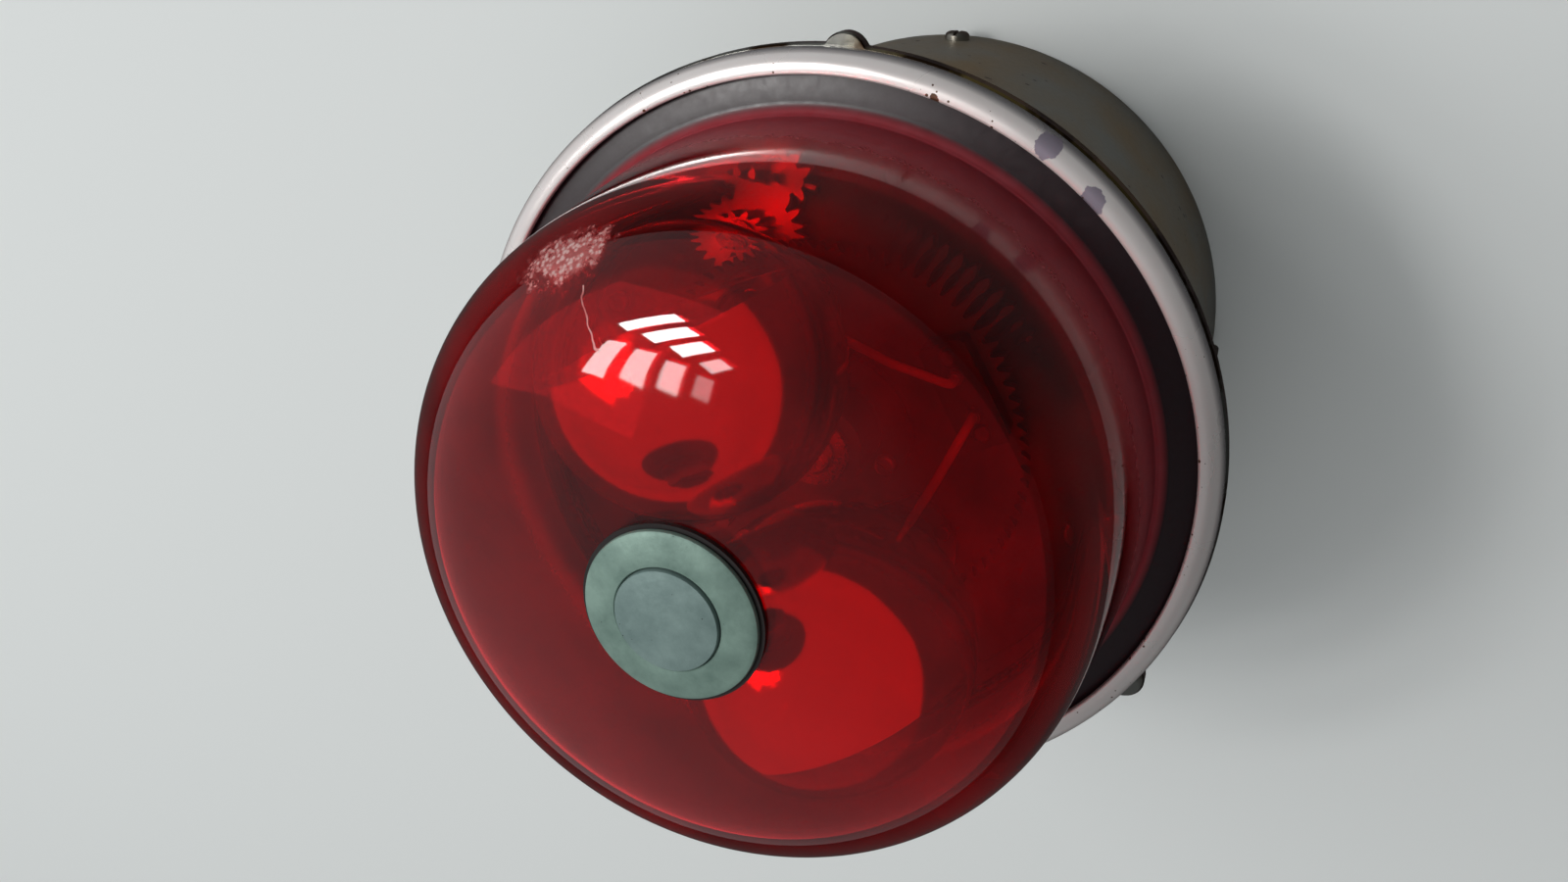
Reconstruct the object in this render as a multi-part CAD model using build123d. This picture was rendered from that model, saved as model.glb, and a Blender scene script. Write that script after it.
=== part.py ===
from build123d import *
from math import acos, atan2, cos, degrees, hypot, pi, radians, sin, sqrt, tan
import os

# Rotating aviation beacon lamp. Millimetres, +Z up along the lamp's own axis, origin at the
# centre of the bottom rim that it stands on. The two lamps lie along X at rest.

# Housing, the drawn steel can below the mounting flange
housing_r = 65.0
housing_wall = 1.6
housing_h = 87.1
bottom_edge_round = 0.5

# Bottom cover, a dished plate set up inside the can
cover_recess = 14.0
cover_thick = 1.6
cover_skirt_h = 10.0
cover_gap = 0.3
cover_screw_count = 4
cover_screw_azimuth = -28.5
cover_screw_up = 2.6
cover_head_r = 2.7
cover_head_h = 1.7
cover_shank_r = 1.5
cover_shank_past = 1.6

# Mounting flange, and the tapped holes that the lamp is bolted by
flange_overhang = 8.4
flange_plate = 1.8
flange_rim_h = 3.2
flange_ledge = 4.2
flange_hole_out = 3.2
flange_hole_r = 1.7
flange_hole_count = 6
ear_r = 3.9

# Retaining ring and the screws that draw it down
ring_set_in = 0.4
ring_band = 4.2
ring_wall = 1.2
ring_bead_r = 3.1
ring_edge_round = 0.5
ring_screw_count = 3
ring_screw_azimuth = -29.2
ring_screw_r = 1.2
ring_head_r = 2.9
ring_head_h = 2.2
ring_screw_past = 1.8
ring_boss_wide = 5.0
ring_boss_h = 2.2

# Seals of the glass
seat_gasket_thick = 1.2
seat_gasket_in = 0.6
seat_gasket_edge = 0.3
foot_side_gap = 0.4
strip_thick = 0.6
strip_set_back = 0.1

# Red glass dome
foot_play = 0.1
foot_thick = 2.8
foot_round = 0.5
glass_thick = 3.2
shoulder_wide = 6.6
shoulder_fillet = 2.4
wall_draft = 3.6
corner_r = 21.0
cap_r = 200.0
dome_rise = 64.9

# Tip plug through the top of the dome
plug_r = 14.1
plug_gasket_past = 0.7
plug_gasket_thick = 0.3
seal_play = 0.02
plug_edge_h = 1.0
plug_washer_crown = 0.8
plug_washer_bulge = 0.1
plug_seat_h = 0.9
plug_head_r = 8.4
plug_groove = 0.2
plug_head_h = 1.4
plug_head_crown = 0.7
plug_stud_r = 4.0
stud_clear = 0.25
tip_hole_clear = 1.0
inner_washer_r = 9.0
inner_washer_thick = 1.2
plug_nut_flats = 13.0
plug_nut_h = 5.0
stud_past_nut = 1.5

# Chassis plate and the brackets that hold it
chassis_thick = 2.0
chassis_gap = 0.8
bracket_count = 4
bracket_azimuth = 45.0
bracket_wide = 12.0
bracket_h = 14.0
bracket_leg = 11.0
bracket_sheet = 1.5
chassis_screw_in = 5.5

# Pan-head screws used on the chassis, shares of every screw head, and clearance round a screw
screw_r = 1.5
screw_head_r = 2.8
screw_head_h = 1.6
screw_past = 1.2
head_round = 0.6
slot_wide_share = 0.28
slot_deep_share = 0.4
hole_clear = 0.1
cutter_past = 1.0

# Spindle and carriage hub
spindle_r = 4.0
spindle_shoulder_r = 9.0
spindle_shoulder_h = 2.0
spindle_tail_r = 3.0
spindle_nut_flats = 10.0
spindle_nut_h = 3.0
nut_past = 1.0
thrust_thick = 0.8
thrust_r = 8.0
thrust_gap = 0.2
hub_r = 9.0
hub_h = 20.0
hub_flange_r = 15.0
hub_flange_h = 2.0
hub_screw_count = 3
hub_screw_circle = 12.0
hub_screw_r = 1.2
hub_head_r = 2.1
hub_head_h = 1.2
bush_wall = 1.5
bush_h = 6.0
running_clear = 0.05
clip_thick = 0.9
clip_lip = 2.5
clip_bite = 0.6
clip_gap = 0.2
clip_mouth = 4.0
spindle_past_clip = 1.2

# Gear train: motor pinion, idler wheel with its own pinion, carriage gear
idler_room = 4.32
pressure_deg = 25.0
root_depth = 1.25
backlash = 0.16
mesh_slack = 0.08
carriage_teeth = 80
pinion_teeth = 12
idler_wheel_teeth = 24
gear_thick = 3.0
gear_lift = 3.3
wheel_thick = 2.2
wheel_lift = 2.4
pinion_proud = 0.3
idler_pin_r = 2.0
idler_hub_r = 3.6
idler_clip_lip = 1.7

# Slip rings under the carriage gear, and their brushes
slip_in_r = 12.4
slip_wide = 3.6
slip_space = 1.6
slip_thick = 0.8
brush_r = 1.5
brush_len = 6.5
brush_gap = 0.1
pocket_clear = 0.1
block_long = 13.0
block_wide = 10.0
block_above = 3.6
block_below = 9.0
block_floor = 1.5
block_ear = 6.5
block_ear_h = 2.0
spring_wire_r = 0.2
spring_turns = 6

# Drive motor
motor_r = 17.0
motor_wall = 1.4
motor_cap_h = 4.0
motor_boss_r = 5.0
motor_boss_h = 1.6
shaft_r = 1.5
shaft_end = 0.6
bearing_r = 4.0
bearing_h = 3.5
magnet_thick = 3.6
magnet_past = 1.5
magnet_arc = 120.0
armature_gap = 0.8
armature_end_gap = 0.5
armature_h = 19.0
armature_slots = 8
slot_wide = 1.4
slot_deep = 5.0
commutator_r = 5.0
commutator_h = 5.0
motor_screw_circle = 12.0
motor_post_apart = 12.0
motor_post_y = 8.0
post_r = 1.5
post_h = 3.0

# Lamps: globe bulbs on bayonet caps, silvered on the half towards the hub
swing_gap = 2.0
lamp_between = 3.2
lamp_head_room = 4.8
lamp_glass = 0.9
silver_thick = 0.3
silver_play = 0.05
silver_past = 8.0
cap_shell_r = 7.5
cap_wall = 0.4
cap_len = 12.0
cap_floor = 1.2
neck_play = 0.1
neck_len = 7.0
cap_pin_r = 1.0
cap_pin_out = 1.0
cap_pin_up = 5.0
contact_r = 2.2
contact_h = 0.8
stem_disc = 1.2
stem_r = 3.2
stem_h = 14.0
support_r = 0.45
support_spread = 4.0
support_bend = 1.5
filament_r = 0.7
filament_len = 11.0

# Bayonet lamp holders on the carriage gear
socket_play = 0.3
socket_wall = 1.3
socket_floor = 1.6
socket_rib = 1.0
socket_foot_r = 12.6
socket_foot_h = 1.2
socket_drop = 1.2
socket_slot = 2.6
socket_contact_gap = 0.3
rivet_r = 1.0
rivet_head_r = 1.7
rivet_head_h = 0.8
rivet_round = 0.7
rivet_circle = 10.85

# Carriage terminal block, balance weight and lamp leads
lead_block_long = 22.0
lead_block_wide = 11.0
lead_block_h = 8.0
lead_block_inset = 2.25
lead_post_apart = 8.0
weight_long = 22.0
weight_wide = 8.0
weight_h = 9.0
weight_inset = 3.25
block_corner = 1.0
small_rivet_apart = 16.0
lead_r = 0.9
lead_rise = 4.0
lead_over_share = 0.3
lead_bend = 1.5
lead_entry_up = 7.0

# Connector in the recess under the bottom cover
connector_flange = 27.0
connector_flange_h = 1.8
shell_r = 11.0
shell_wall = 1.4
shell_len = 12.0
insert_play = 0.1
insert_depth = 9.0
insert_above = 6.0
pin_count = 3
pin_circle_r = 4.4
pin_r = 1.1
pin_out = 3.4
pin_back = 3.0
pin_round = 0.8
connector_screw_at = 10.7
connector_head_r = 2.0
connector_head_h = 1.1
connector_shank_r = 1.0
cover_hole_clear = 0.4

# Noise filter can and terminal strip under the chassis
can_r = 9.0
can_h = 28.0
can_x = -33.0
can_y = 22.0
can_post_apart = 8.0
clamp_sheet = 1.0
clamp_h = 8.0
clamp_tab = 9.0
strip_long = 30.0
strip_wide = 11.0
strip_h = 8.0
strip_x = -30.0
strip_y = -26.0
strip_post_count = 4
strip_post_pitch = 7.0

# Fixed wiring
wire_r = 0.9
wire_drop = 6.0
wire_bend = 4.0

# Places that follow from the sizes above
housing_in = housing_r - housing_wall
flange_r = housing_r + flange_overhang
flange_bore_r = housing_in - flange_ledge
ring_r = flange_r - ring_set_in
ring_inner_r = ring_r - ring_band
foot_r = ring_r - ring_bead_r - foot_play
rim_in_r = foot_r + foot_side_gap
ring_screw_circle_r = (rim_in_r + ring_r) / 2
skirt_r = ring_inner_r - shoulder_wide
dome_wall_r = skirt_r - wall_draft
flange_hole_circle_r = housing_r + flange_hole_out

seat_z = housing_h + flange_plate
foot_z = seat_z + seat_gasket_thick
foot_top = foot_z + foot_thick
lip_z = foot_top + strip_thick
lip_top = lip_z + ring_wall
rim_top = housing_h + flange_rim_h
tip_z = foot_z + dome_rise
inner_cap_r = cap_r - glass_thick
cap_centre_z = tip_z - cap_r
plug_z = tip_z + plug_gasket_thick
washer_z = cap_centre_z + sqrt(inner_cap_r ** 2 - inner_washer_r ** 2) - inner_washer_thick
tip_hole_r = plug_stud_r + tip_hole_clear

# Lamps fill the dome from its inner wall to the gap between them, and the carriage, the chassis
# and what hangs under it take their heights from the lamps
lamp_r = (dome_wall_r - glass_thick - swing_gap - lamp_between / 2) / 2
lamp_offset = lamp_r + lamp_between / 2
lamp_z = cap_centre_z + sqrt(inner_cap_r ** 2 - lamp_offset ** 2) - lamp_head_room - lamp_r
neck_r = cap_shell_r - cap_wall - neck_play
cap_top = lamp_z - sqrt(lamp_r ** 2 - neck_r ** 2)
cap_z = cap_top - cap_len
neck_z = cap_top - neck_len
socket_in_r = cap_shell_r + socket_play
socket_r = socket_in_r + socket_wall
socket_floor_z = cap_z - contact_h - socket_contact_gap
socket_top = cap_top - socket_drop
gear_top = socket_floor_z - socket_floor
gear_z = gear_top - gear_thick
block_post_z = gear_top + lead_block_h

hub_z = gear_z - gear_lift
hub_top = hub_z + hub_h
shoulder_top = hub_z - thrust_gap - thrust_thick
chassis_top = shoulder_top - spindle_shoulder_h
chassis_z = chassis_top - chassis_thick
chassis_r = housing_in - chassis_gap
wheel_z = chassis_top + wheel_lift
wheel_top = wheel_z + wheel_thick
slip_mid_r = (slip_in_r + slip_wide / 2, slip_in_r + 1.5 * slip_wide + slip_space)
slip_z = gear_z - slip_thick
block_x = -(slip_mid_r[0] + slip_mid_r[1]) / 2
block_z = chassis_z - block_below
block_top = chassis_top + block_above
brush_z = slip_z - brush_gap - brush_len
motor_top = chassis_z
motor_h = armature_h + 2 * (commutator_h + armature_end_gap + motor_cap_h)
motor_bottom = motor_top - motor_h
strip_z = chassis_z - strip_h
can_z = chassis_z - clamp_sheet - can_h

# The gear train runs from the spindle out to just inside the can, which sets its module
train_teeth = (carriage_teeth + pinion_teeth + idler_wheel_teeth) / 2
module_mm = (housing_in - idler_room - mesh_slack) / (train_teeth + 1)
idler_x = module_mm * (carriage_teeth + pinion_teeth) / 2 + mesh_slack
motor_x = idler_x - module_mm * (idler_wheel_teeth + pinion_teeth) / 2 - mesh_slack
gear_root_r = module_mm * (carriage_teeth / 2 - root_depth)
lead_block_out = gear_root_r - lead_block_inset - lead_block_wide / 2
weight_out = gear_root_r - weight_inset - weight_wide / 2

cover_z = cover_recess
skirt_z = cover_z + cover_thick - cover_skirt_h
cover_r = housing_in - cover_gap
cover_screw_z = skirt_z + cover_screw_up
mouth_z = cover_z - shell_len
insert_z = mouth_z + insert_depth
insert_top = cover_z + cover_thick + insert_above


def rod(r, z0, z1):
    return Pos(0, 0, z0) * Cylinder(r, z1 - z0, align=(Align.CENTER, Align.CENTER, Align.MIN))


def bore(r, z0, z1):
    # Round cutter that runs past both ends of what it cuts
    return rod(r, z0 - cutter_past, z1 + cutter_past)


def tube(r_out, r_in, z0, z1):
    return rod(r_out, z0, z1) - bore(r_in, z0, z1)


def block(length, width, z0, z1):
    return Pos(0, 0, z0) * Box(length, width, z1 - z0, align=(Align.CENTER, Align.CENTER, Align.MIN))


def lathe(*edges):
    # Turn a closed outline, drawn as (radius, height), about the Z axis
    return revolve(Plane.XZ * make_face(Wire(edges)), Axis.Z)


def arc_points(centre, r, start_deg, end_deg):
    # Start, middle and end of an arc in the (radius, height) plane
    angles = (start_deg, (start_deg + end_deg) / 2, end_deg)
    return [(centre[0] + r * cos(radians(a)), centre[1] + r * sin(radians(a))) for a in angles]


def cap_arc(r, r_start, r_end):
    # Arc about the centre of the dome's cap, between two distances from the axis
    centre = (0.0, cap_centre_z)
    return ThreePointArc(*arc_points(centre, r, degrees(acos(r_start / r)), degrees(acos(r_end / r))))


def crown(edge_r, edge_z, rise):
    # Arc of a shallow dome from its edge up to the axis
    r = (edge_r ** 2 + rise ** 2) / (2 * rise)
    end_deg = degrees(acos(edge_r / r))
    return ThreePointArc(*arc_points((0.0, edge_z + rise - r), r, end_deg, 90.0))


def around(count, first_deg=0.0):
    return [first_deg + 360.0 * i / count for i in range(count)]


def out_at(shape, r, deg):
    # Move a shape out from the axis, then turn it to an azimuth
    return Rot(0, 0, deg) * (Pos(r, 0, 0) * shape)


def hexagon(flats, z0, z1):
    face = RegularPolygon(flats / 2, 6, major_radius=False)
    return Pos(0, 0, z0) * extrude(face, z1 - z0)


def pan_screw(head_r, head_h, shank_r, shank_len):
    # Head up from z = 0 and shank down, with a driver slot across a rounded head
    head = rod(head_r, 0, head_h)
    head = fillet(head.edges().sort_by(Axis.Z)[-1], head_round * head_h)
    slot = Pos(0, 0, head_h) * Box(3 * head_r, slot_wide_share * head_r, 2 * slot_deep_share * head_h)
    return head + rod(shank_r, -shank_len, 0) - slot


def wire(points, r, bend):
    # Round wire along straight runs with arcs of one radius at the corners
    path = FilletPolyline(*points, radius=bend)
    return sweep(Plane(origin=path @ 0, z_dir=path % 0) * Circle(r), path)


def save(name, *shapes):
    solids = [solid for shape in shapes for solid in shape.solids()]
    part = solids[0] if len(solids) == 1 else Compound(children=solids)
    part.label = name
    export_step(part, f"parts/{name}.step")


def base_housing():
    can = tube(housing_r, housing_in, 0, housing_h)
    can = fillet(can.edges().filter_by(GeomType.CIRCLE).sort_by(Axis.Z)[:2], bottom_edge_round)
    hole = Rot(0, 90, 0) * Cylinder(cover_shank_r + hole_clear, 4 * housing_wall)
    for a in around(cover_screw_count, cover_screw_azimuth):
        can -= Pos(0, 0, cover_screw_z) * out_at(hole, housing_r - housing_wall / 2, a)
    return can


def bottom_cover():
    dish = rod(cover_r, cover_z, cover_z + cover_thick)
    dish += tube(cover_r, cover_r - cover_thick, skirt_z, cover_z + cover_thick / 2)
    dish -= bore(shell_r - shell_wall + cover_hole_clear, cover_z, cover_z + cover_thick)
    hole = bore(connector_shank_r + hole_clear, cover_z, cover_z + cover_thick)
    dish -= [Pos(x, y) * hole for x, y in connector_corners()]
    hole = Rot(0, 90, 0) * Cylinder(cover_shank_r + hole_clear, 4 * cover_thick)
    for a in around(cover_screw_count, cover_screw_azimuth):
        dish -= Pos(0, 0, cover_screw_z) * out_at(hole, cover_r - cover_thick / 2, a)
    return dish


def cover_screws():
    shank = housing_wall + cover_gap + cover_thick + cover_shank_past
    screw = Rot(0, 90, 0) * pan_screw(cover_head_r, cover_head_h, cover_shank_r, shank)
    screw = Pos(housing_r, 0, cover_screw_z) * screw
    return [Rot(0, 0, a) * screw for a in around(cover_screw_count, cover_screw_azimuth)]


def mounting_flange():
    # Flat plate with a raised rim that the ring sits on, and an ear at each ring screw
    flange = tube(flange_r, flange_bore_r, housing_h, rim_top)
    for a in around(ring_screw_count, ring_screw_azimuth):
        flange += out_at(rod(ear_r, housing_h, rim_top), ring_screw_circle_r, a)
    flange -= rod(rim_in_r, seat_z, rim_top + cutter_past)
    for a in around(ring_screw_count, ring_screw_azimuth):
        flange -= out_at(bore(ring_screw_r + hole_clear, housing_h, rim_top), ring_screw_circle_r, a)
    for a in around(flange_hole_count, ring_screw_azimuth + 180.0 / flange_hole_count):
        flange -= out_at(bore(flange_hole_r, housing_h, seat_z), flange_hole_circle_r, a)
    return flange


def seat_gasket():
    # Lies inside the circle of bolt holes, under the thick foot of the glass
    r_out = flange_hole_circle_r - flange_hole_r - seat_gasket_edge
    return tube(r_out, flange_bore_r + seat_gasket_in, seat_z, foot_z)


def dome_wall(inset, bottom):
    # Cap arc, corner arc and straight drafted wall of the dome, at an inset behind its outer
    # face. The wall leaves the corner at a tangent and is given by its two ends.
    corner_x = dome_wall_r - corner_r
    corner_z = cap_centre_z + sqrt((cap_r - corner_r) ** 2 - corner_x ** 2)
    join = degrees(atan2(corner_z - cap_centre_z, corner_x))
    reach = hypot(skirt_r - corner_x, foot_top - corner_z)
    lean = degrees(atan2(foot_top - corner_z, skirt_r - corner_x) + acos(corner_r / reach))
    cap = cap_arc(cap_r - inset, tip_hole_r, corner_x * (cap_r - inset) / (cap_r - corner_r))
    corner = ThreePointArc(*arc_points((corner_x, corner_z), corner_r - inset, join, lean))
    top = ((corner @ 1).X, (corner @ 1).Y)
    low = (top[0] + (top[1] - bottom) * tan(radians(lean)), bottom)
    return cap, corner, top, low


def lens_dome():
    cap, corner, top, low = dome_wall(0.0, foot_top + shoulder_fillet)
    cap_in, corner_in, top_in, low_in = dome_wall(glass_thick, foot_z)
    root = (low[0] + shoulder_fillet, low[1])
    shoulder = ThreePointArc(*arc_points(root, shoulder_fillet, 180, 270))
    foot = Polyline(
        (root[0], foot_top), (foot_r - foot_round, foot_top), (foot_r, foot_top - foot_round),
        (foot_r, foot_z), low_in, top_in,
    )
    hole = Line(((cap @ 0).X, (cap @ 0).Y), ((cap_in @ 0).X, (cap_in @ 0).Y))
    return lathe(cap, corner, Line(top, low), shoulder, *foot.edges(), corner_in, cap_in, hole)


def lens_strip():
    # Thin seal between the glass foot and the ring's lip
    return tube(foot_r - foot_round, ring_inner_r + strip_set_back, foot_top, lip_z)


def ring_boss(height):
    # Lug inside the ring that a ring screw is tapped into
    wide = block(4 * ring_band, ring_boss_wide, rim_top, rim_top + height)
    band = tube(ring_r - ring_wall / 2, rim_in_r, rim_top, rim_top + height)
    return band & (Pos(ring_r, 0) * wide)


def retaining_ring():
    # Rolled section: upright flank, half-round bead, flat lip over the glass
    bead = (ring_r - ring_bead_r, lip_top - ring_bead_r)
    hollow_r = ring_bead_r - ring_wall
    nose = (ring_inner_r + ring_edge_round, lip_top - ring_edge_round)
    ring = lathe(
        Line((ring_r, rim_top), (ring_r, bead[1])),
        ThreePointArc(*arc_points(bead, ring_bead_r, 0, 90)),
        Line((bead[0], lip_top), (nose[0], lip_top)),
        ThreePointArc(*arc_points(nose, ring_edge_round, 90, 180)),
        Line((ring_inner_r, nose[1]), (ring_inner_r, lip_z)),
        Line((ring_inner_r, lip_z), (bead[0], lip_z)),
        ThreePointArc(*arc_points(bead, hollow_r, 90, 0)),
        Line((bead[0] + hollow_r, bead[1]), (ring_r - ring_wall, rim_top)),
        Line((ring_r - ring_wall, rim_top), (ring_r, rim_top)),
    )
    tapped = rod(ring_screw_r + hole_clear, rim_top - cutter_past, rim_top + ring_screw_past)
    for a in around(ring_screw_count, ring_screw_azimuth):
        ring += Rot(0, 0, a) * ring_boss(ring_boss_h)
        ring -= out_at(tapped, ring_screw_circle_r, a)
    return ring


def ring_screws():
    shank = flange_rim_h + ring_screw_past
    screw = Pos(0, 0, housing_h) * Rot(180, 0, 0) * pan_screw(ring_head_r, ring_head_h, ring_screw_r, shank)
    return [out_at(screw, ring_screw_circle_r, a) for a in around(ring_screw_count, ring_screw_azimuth)]


def plug_gasket():
    r_in = plug_stud_r + stud_clear
    r_out = plug_r + plug_gasket_past
    under = cap_arc(cap_r + seal_play, r_in, r_out)
    start, end = under @ 0, under @ 1
    sides = Polyline((end.X, end.Y), (r_out, plug_z), (r_in, plug_z), (start.X, start.Y))
    return lathe(under, *sides.edges())


def plug_washer():
    # Shallow domed washer with a seat sunk in its middle for the bolt's head
    r_in = plug_stud_r + stud_clear
    seat_r = plug_head_r + plug_groove
    rim = (plug_r, plug_z + plug_edge_h)
    crest = (seat_r, plug_z + plug_edge_h + plug_washer_crown)
    mid = ((rim[0] + crest[0]) / 2, (rim[1] + crest[1]) / 2 + plug_washer_bulge)
    seat = plug_z + plug_seat_h
    base = Polyline(crest, (seat_r, seat), (r_in, seat), (r_in, plug_z), (plug_r, plug_z), rim)
    return lathe(ThreePointArc(rim, mid, crest), *base.edges())


def plug_bolt():
    seat = plug_z + plug_seat_h
    edge = (plug_head_r, seat + plug_head_h)
    end = washer_z - plug_nut_h - stud_past_nut
    top = seat + plug_head_h + plug_head_crown
    stud = [(0, top), (0, end), (plug_stud_r, end), (plug_stud_r, seat)]
    sides = Polyline(*stud, (plug_head_r, seat), edge)
    return lathe(crown(plug_head_r, edge[1], plug_head_crown), *sides.edges())


def plug_inner_washer():
    r_in = plug_stud_r + stud_clear
    upper = cap_arc(inner_cap_r - seal_play, r_in, inner_washer_r)
    start, end = upper @ 0, upper @ 1
    sides = Polyline((end.X, end.Y), (inner_washer_r, washer_z), (r_in, washer_z), (start.X, start.Y))
    return lathe(upper, *sides.edges())


def plug_nut():
    return hexagon(plug_nut_flats, washer_z - plug_nut_h, washer_z) - rod(plug_stud_r, 0, tip_z)


def bracket_azimuths():
    return around(bracket_count, bracket_azimuth)


def on_circle(r, deg):
    return (r * cos(radians(deg)), r * sin(radians(deg)))


def chassis_screw_places():
    # Brackets first, then the motor, then the two ears of the brush block
    ear_y = (block_wide + block_ear) / 2
    places = [on_circle(chassis_r - chassis_screw_in, a) for a in bracket_azimuths()]
    places += [(motor_x, motor_screw_circle), (motor_x, -motor_screw_circle)]
    return places + [(block_x, ear_y), (block_x, -ear_y)]


def chassis_plate():
    plate = rod(chassis_r, chassis_z, chassis_top)
    plate -= bore(spindle_tail_r, chassis_z, chassis_top)
    plate -= Pos(motor_x, 0) * bore(motor_boss_r + hole_clear, chassis_z, chassis_top)
    plate -= Pos(idler_x, 0) * bore(idler_pin_r, chassis_z, chassis_top)
    opening = (block_long + 2 * hole_clear, block_wide + 2 * hole_clear)
    plate -= Pos(block_x, 0) * block(*opening, chassis_z - cutter_past, chassis_top + cutter_past)
    for x, y in chassis_screw_places():
        plate -= Pos(x, y) * bore(screw_r + hole_clear, chassis_z, chassis_top)
    return plate


def chassis_brackets():
    # Angle with its upright welded to the inside of the can
    upright = tube(housing_in, housing_in - bracket_sheet, chassis_z - bracket_h, chassis_z)
    shelf = tube(housing_in, housing_in - bracket_leg, chassis_z - bracket_sheet, chassis_z)
    angle = (upright + shelf) & (Pos(housing_in, 0) * block(3 * bracket_leg, bracket_wide, 0, chassis_z))
    hole_x = chassis_r - chassis_screw_in
    angle -= Pos(hole_x, 0) * bore(screw_r + hole_clear, chassis_z - bracket_sheet, chassis_z)
    return [Rot(0, 0, a) * angle for a in bracket_azimuths()]


def chassis_screws():
    # The brush block's ears stand on the plate, so their screws sit higher
    screws = []
    for x, y in chassis_screw_places():
        seat = chassis_top + (block_ear_h if x < 0 and abs(x - block_x) < screw_r else 0.0)
        grip = seat - chassis_z + screw_past + bracket_sheet
        screws.append(Pos(x, y, seat) * pan_screw(screw_head_r, screw_head_h, screw_r, grip))
    return screws


def spindle():
    tail = chassis_z - spindle_nut_h - nut_past
    groove_z = hub_top + clip_gap
    top = groove_z + clip_thick + spindle_past_clip
    shaft = rod(spindle_tail_r, tail, chassis_top) + rod(spindle_shoulder_r, chassis_top, shoulder_top)
    shaft += rod(spindle_r, shoulder_top, top)
    shaft -= clip_groove(spindle_r, groove_z)
    return chamfer(shaft.edges().sort_by(Axis.Z)[-1], clip_bite)


def spindle_nut():
    low = chassis_z - spindle_nut_h
    return hexagon(spindle_nut_flats, low, chassis_z) - bore(spindle_tail_r, low, chassis_z)


def clip_groove(shaft, z):
    return tube(shaft + cutter_past, shaft - clip_bite, z, z + clip_thick)


def snap_clip(shaft, lip, mouth):
    # Open spring clip that bites into a groove
    ring = tube(shaft + lip, shaft - clip_bite, 0, clip_thick)
    return ring - Pos(shaft + lip, 0) * block(2 * (shaft + lip), mouth, -cutter_past, 2 * clip_thick)


def shaft_clips():
    # One over the carriage hub, one over the idler
    hub_clip = Pos(0, 0, hub_top + clip_gap) * snap_clip(spindle_r, clip_lip, clip_mouth)
    idler_z = gear_top + pinion_proud + clip_gap
    return hub_clip, Pos(idler_x, 0, idler_z) * snap_clip(idler_pin_r, idler_clip_lip, clip_mouth / 2)


def thrust_washer():
    return tube(thrust_r, spindle_r + running_clear, shoulder_top, shoulder_top + thrust_thick)


def carriage_hub():
    bush_seat_r = spindle_r + running_clear + bush_wall
    hub = rod(hub_r, hub_z, hub_top) + rod(hub_flange_r, gear_top, gear_top + hub_flange_h)
    hub -= bore(bush_seat_r, hub_z, hub_top)
    for a in hub_screw_azimuths():
        hub -= out_at(bore(hub_screw_r, gear_top, gear_top + hub_flange_h), hub_screw_circle, a)
    return hub


def hub_screw_azimuths():
    return around(hub_screw_count, 90.0)


def hub_screws():
    screw = pan_screw(hub_head_r, hub_head_h, hub_screw_r, hub_flange_h + gear_thick)
    screw = Pos(0, 0, gear_top + hub_flange_h) * screw
    return [out_at(screw, hub_screw_circle, a) for a in hub_screw_azimuths()]


def hub_bushes():
    r_in = spindle_r + running_clear
    r_out = r_in + bush_wall
    return [tube(r_out, r_in, hub_z, hub_z + bush_h), tube(r_out, r_in, hub_top - bush_h, hub_top)]


def involute(angle):
    return tan(angle) - angle


def tooth_points(teeth):
    # Left flank of the tooth that points along X, root to tip, as (radius, half angle)
    pitch_r = module_mm * teeth / 2
    base_r = pitch_r * cos(radians(pressure_deg))
    tip_r = pitch_r + module_mm
    root_r = pitch_r - root_depth * module_mm
    half = pi / 2 / teeth - backlash / 2 / pitch_r + involute(radians(pressure_deg))
    start_r = max(base_r, root_r)
    radii = [start_r + (tip_r - start_r) * i / 4 for i in range(5)]
    flank = [(r, half - involute(acos(base_r / r))) for r in radii]
    return [(root_r, flank[0][1])] + flank if root_r < start_r else flank


def gear_blank(teeth, z0, z1, turn_deg):
    # Spur gear without a bore, with one tooth at turn_deg from X
    flank = tooth_points(teeth)
    points = []
    for i in range(teeth):
        middle = radians(turn_deg) + 2 * pi * i / teeth
        points += [(r * cos(middle - a), r * sin(middle - a)) for r, a in flank]
        points += [(r * cos(middle + a), r * sin(middle + a)) for r, a in reversed(flank)]
    face = make_face(Polyline(*points, close=True))
    return Pos(0, 0, z0) * extrude(face, z1 - z0)


def half_pitch(teeth):
    return 180.0 / teeth


def rivet_places():
    # Two rivets in each lamp holder's foot, two in the terminal block, two in the weight
    places = [(side * lamp_offset, y) for side in (1, -1) for y in (rivet_circle, -rivet_circle)]
    for y in (-lead_block_out, weight_out):
        places += [(small_rivet_apart / 2, y), (-small_rivet_apart / 2, y)]
    return places


def carriage_gear():
    gear = gear_blank(carriage_teeth, gear_z, gear_top, 0.0)
    gear -= bore(hub_r, gear_z, gear_top)
    for x, y in rivet_places():
        gear -= Pos(x, y) * bore(rivet_r, gear_z, gear_top)
    for a in hub_screw_azimuths():
        gear -= out_at(bore(hub_screw_r, gear_z, gear_top), hub_screw_circle, a)
    return gear


def carriage_rivets():
    rivets = []
    for x, y in rivet_places():
        seat = gear_top + socket_foot_h
        if y == -lead_block_out:
            seat = block_post_z
        if y == weight_out:
            seat = gear_top + weight_h
        head = rod(rivet_head_r, seat, seat + rivet_head_h)
        head = fillet(head.edges().sort_by(Axis.Z)[-1], rivet_round * rivet_head_h)
        rivets.append(Pos(x, y) * (head + rod(rivet_r, gear_z, seat)))
    return rivets


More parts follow.
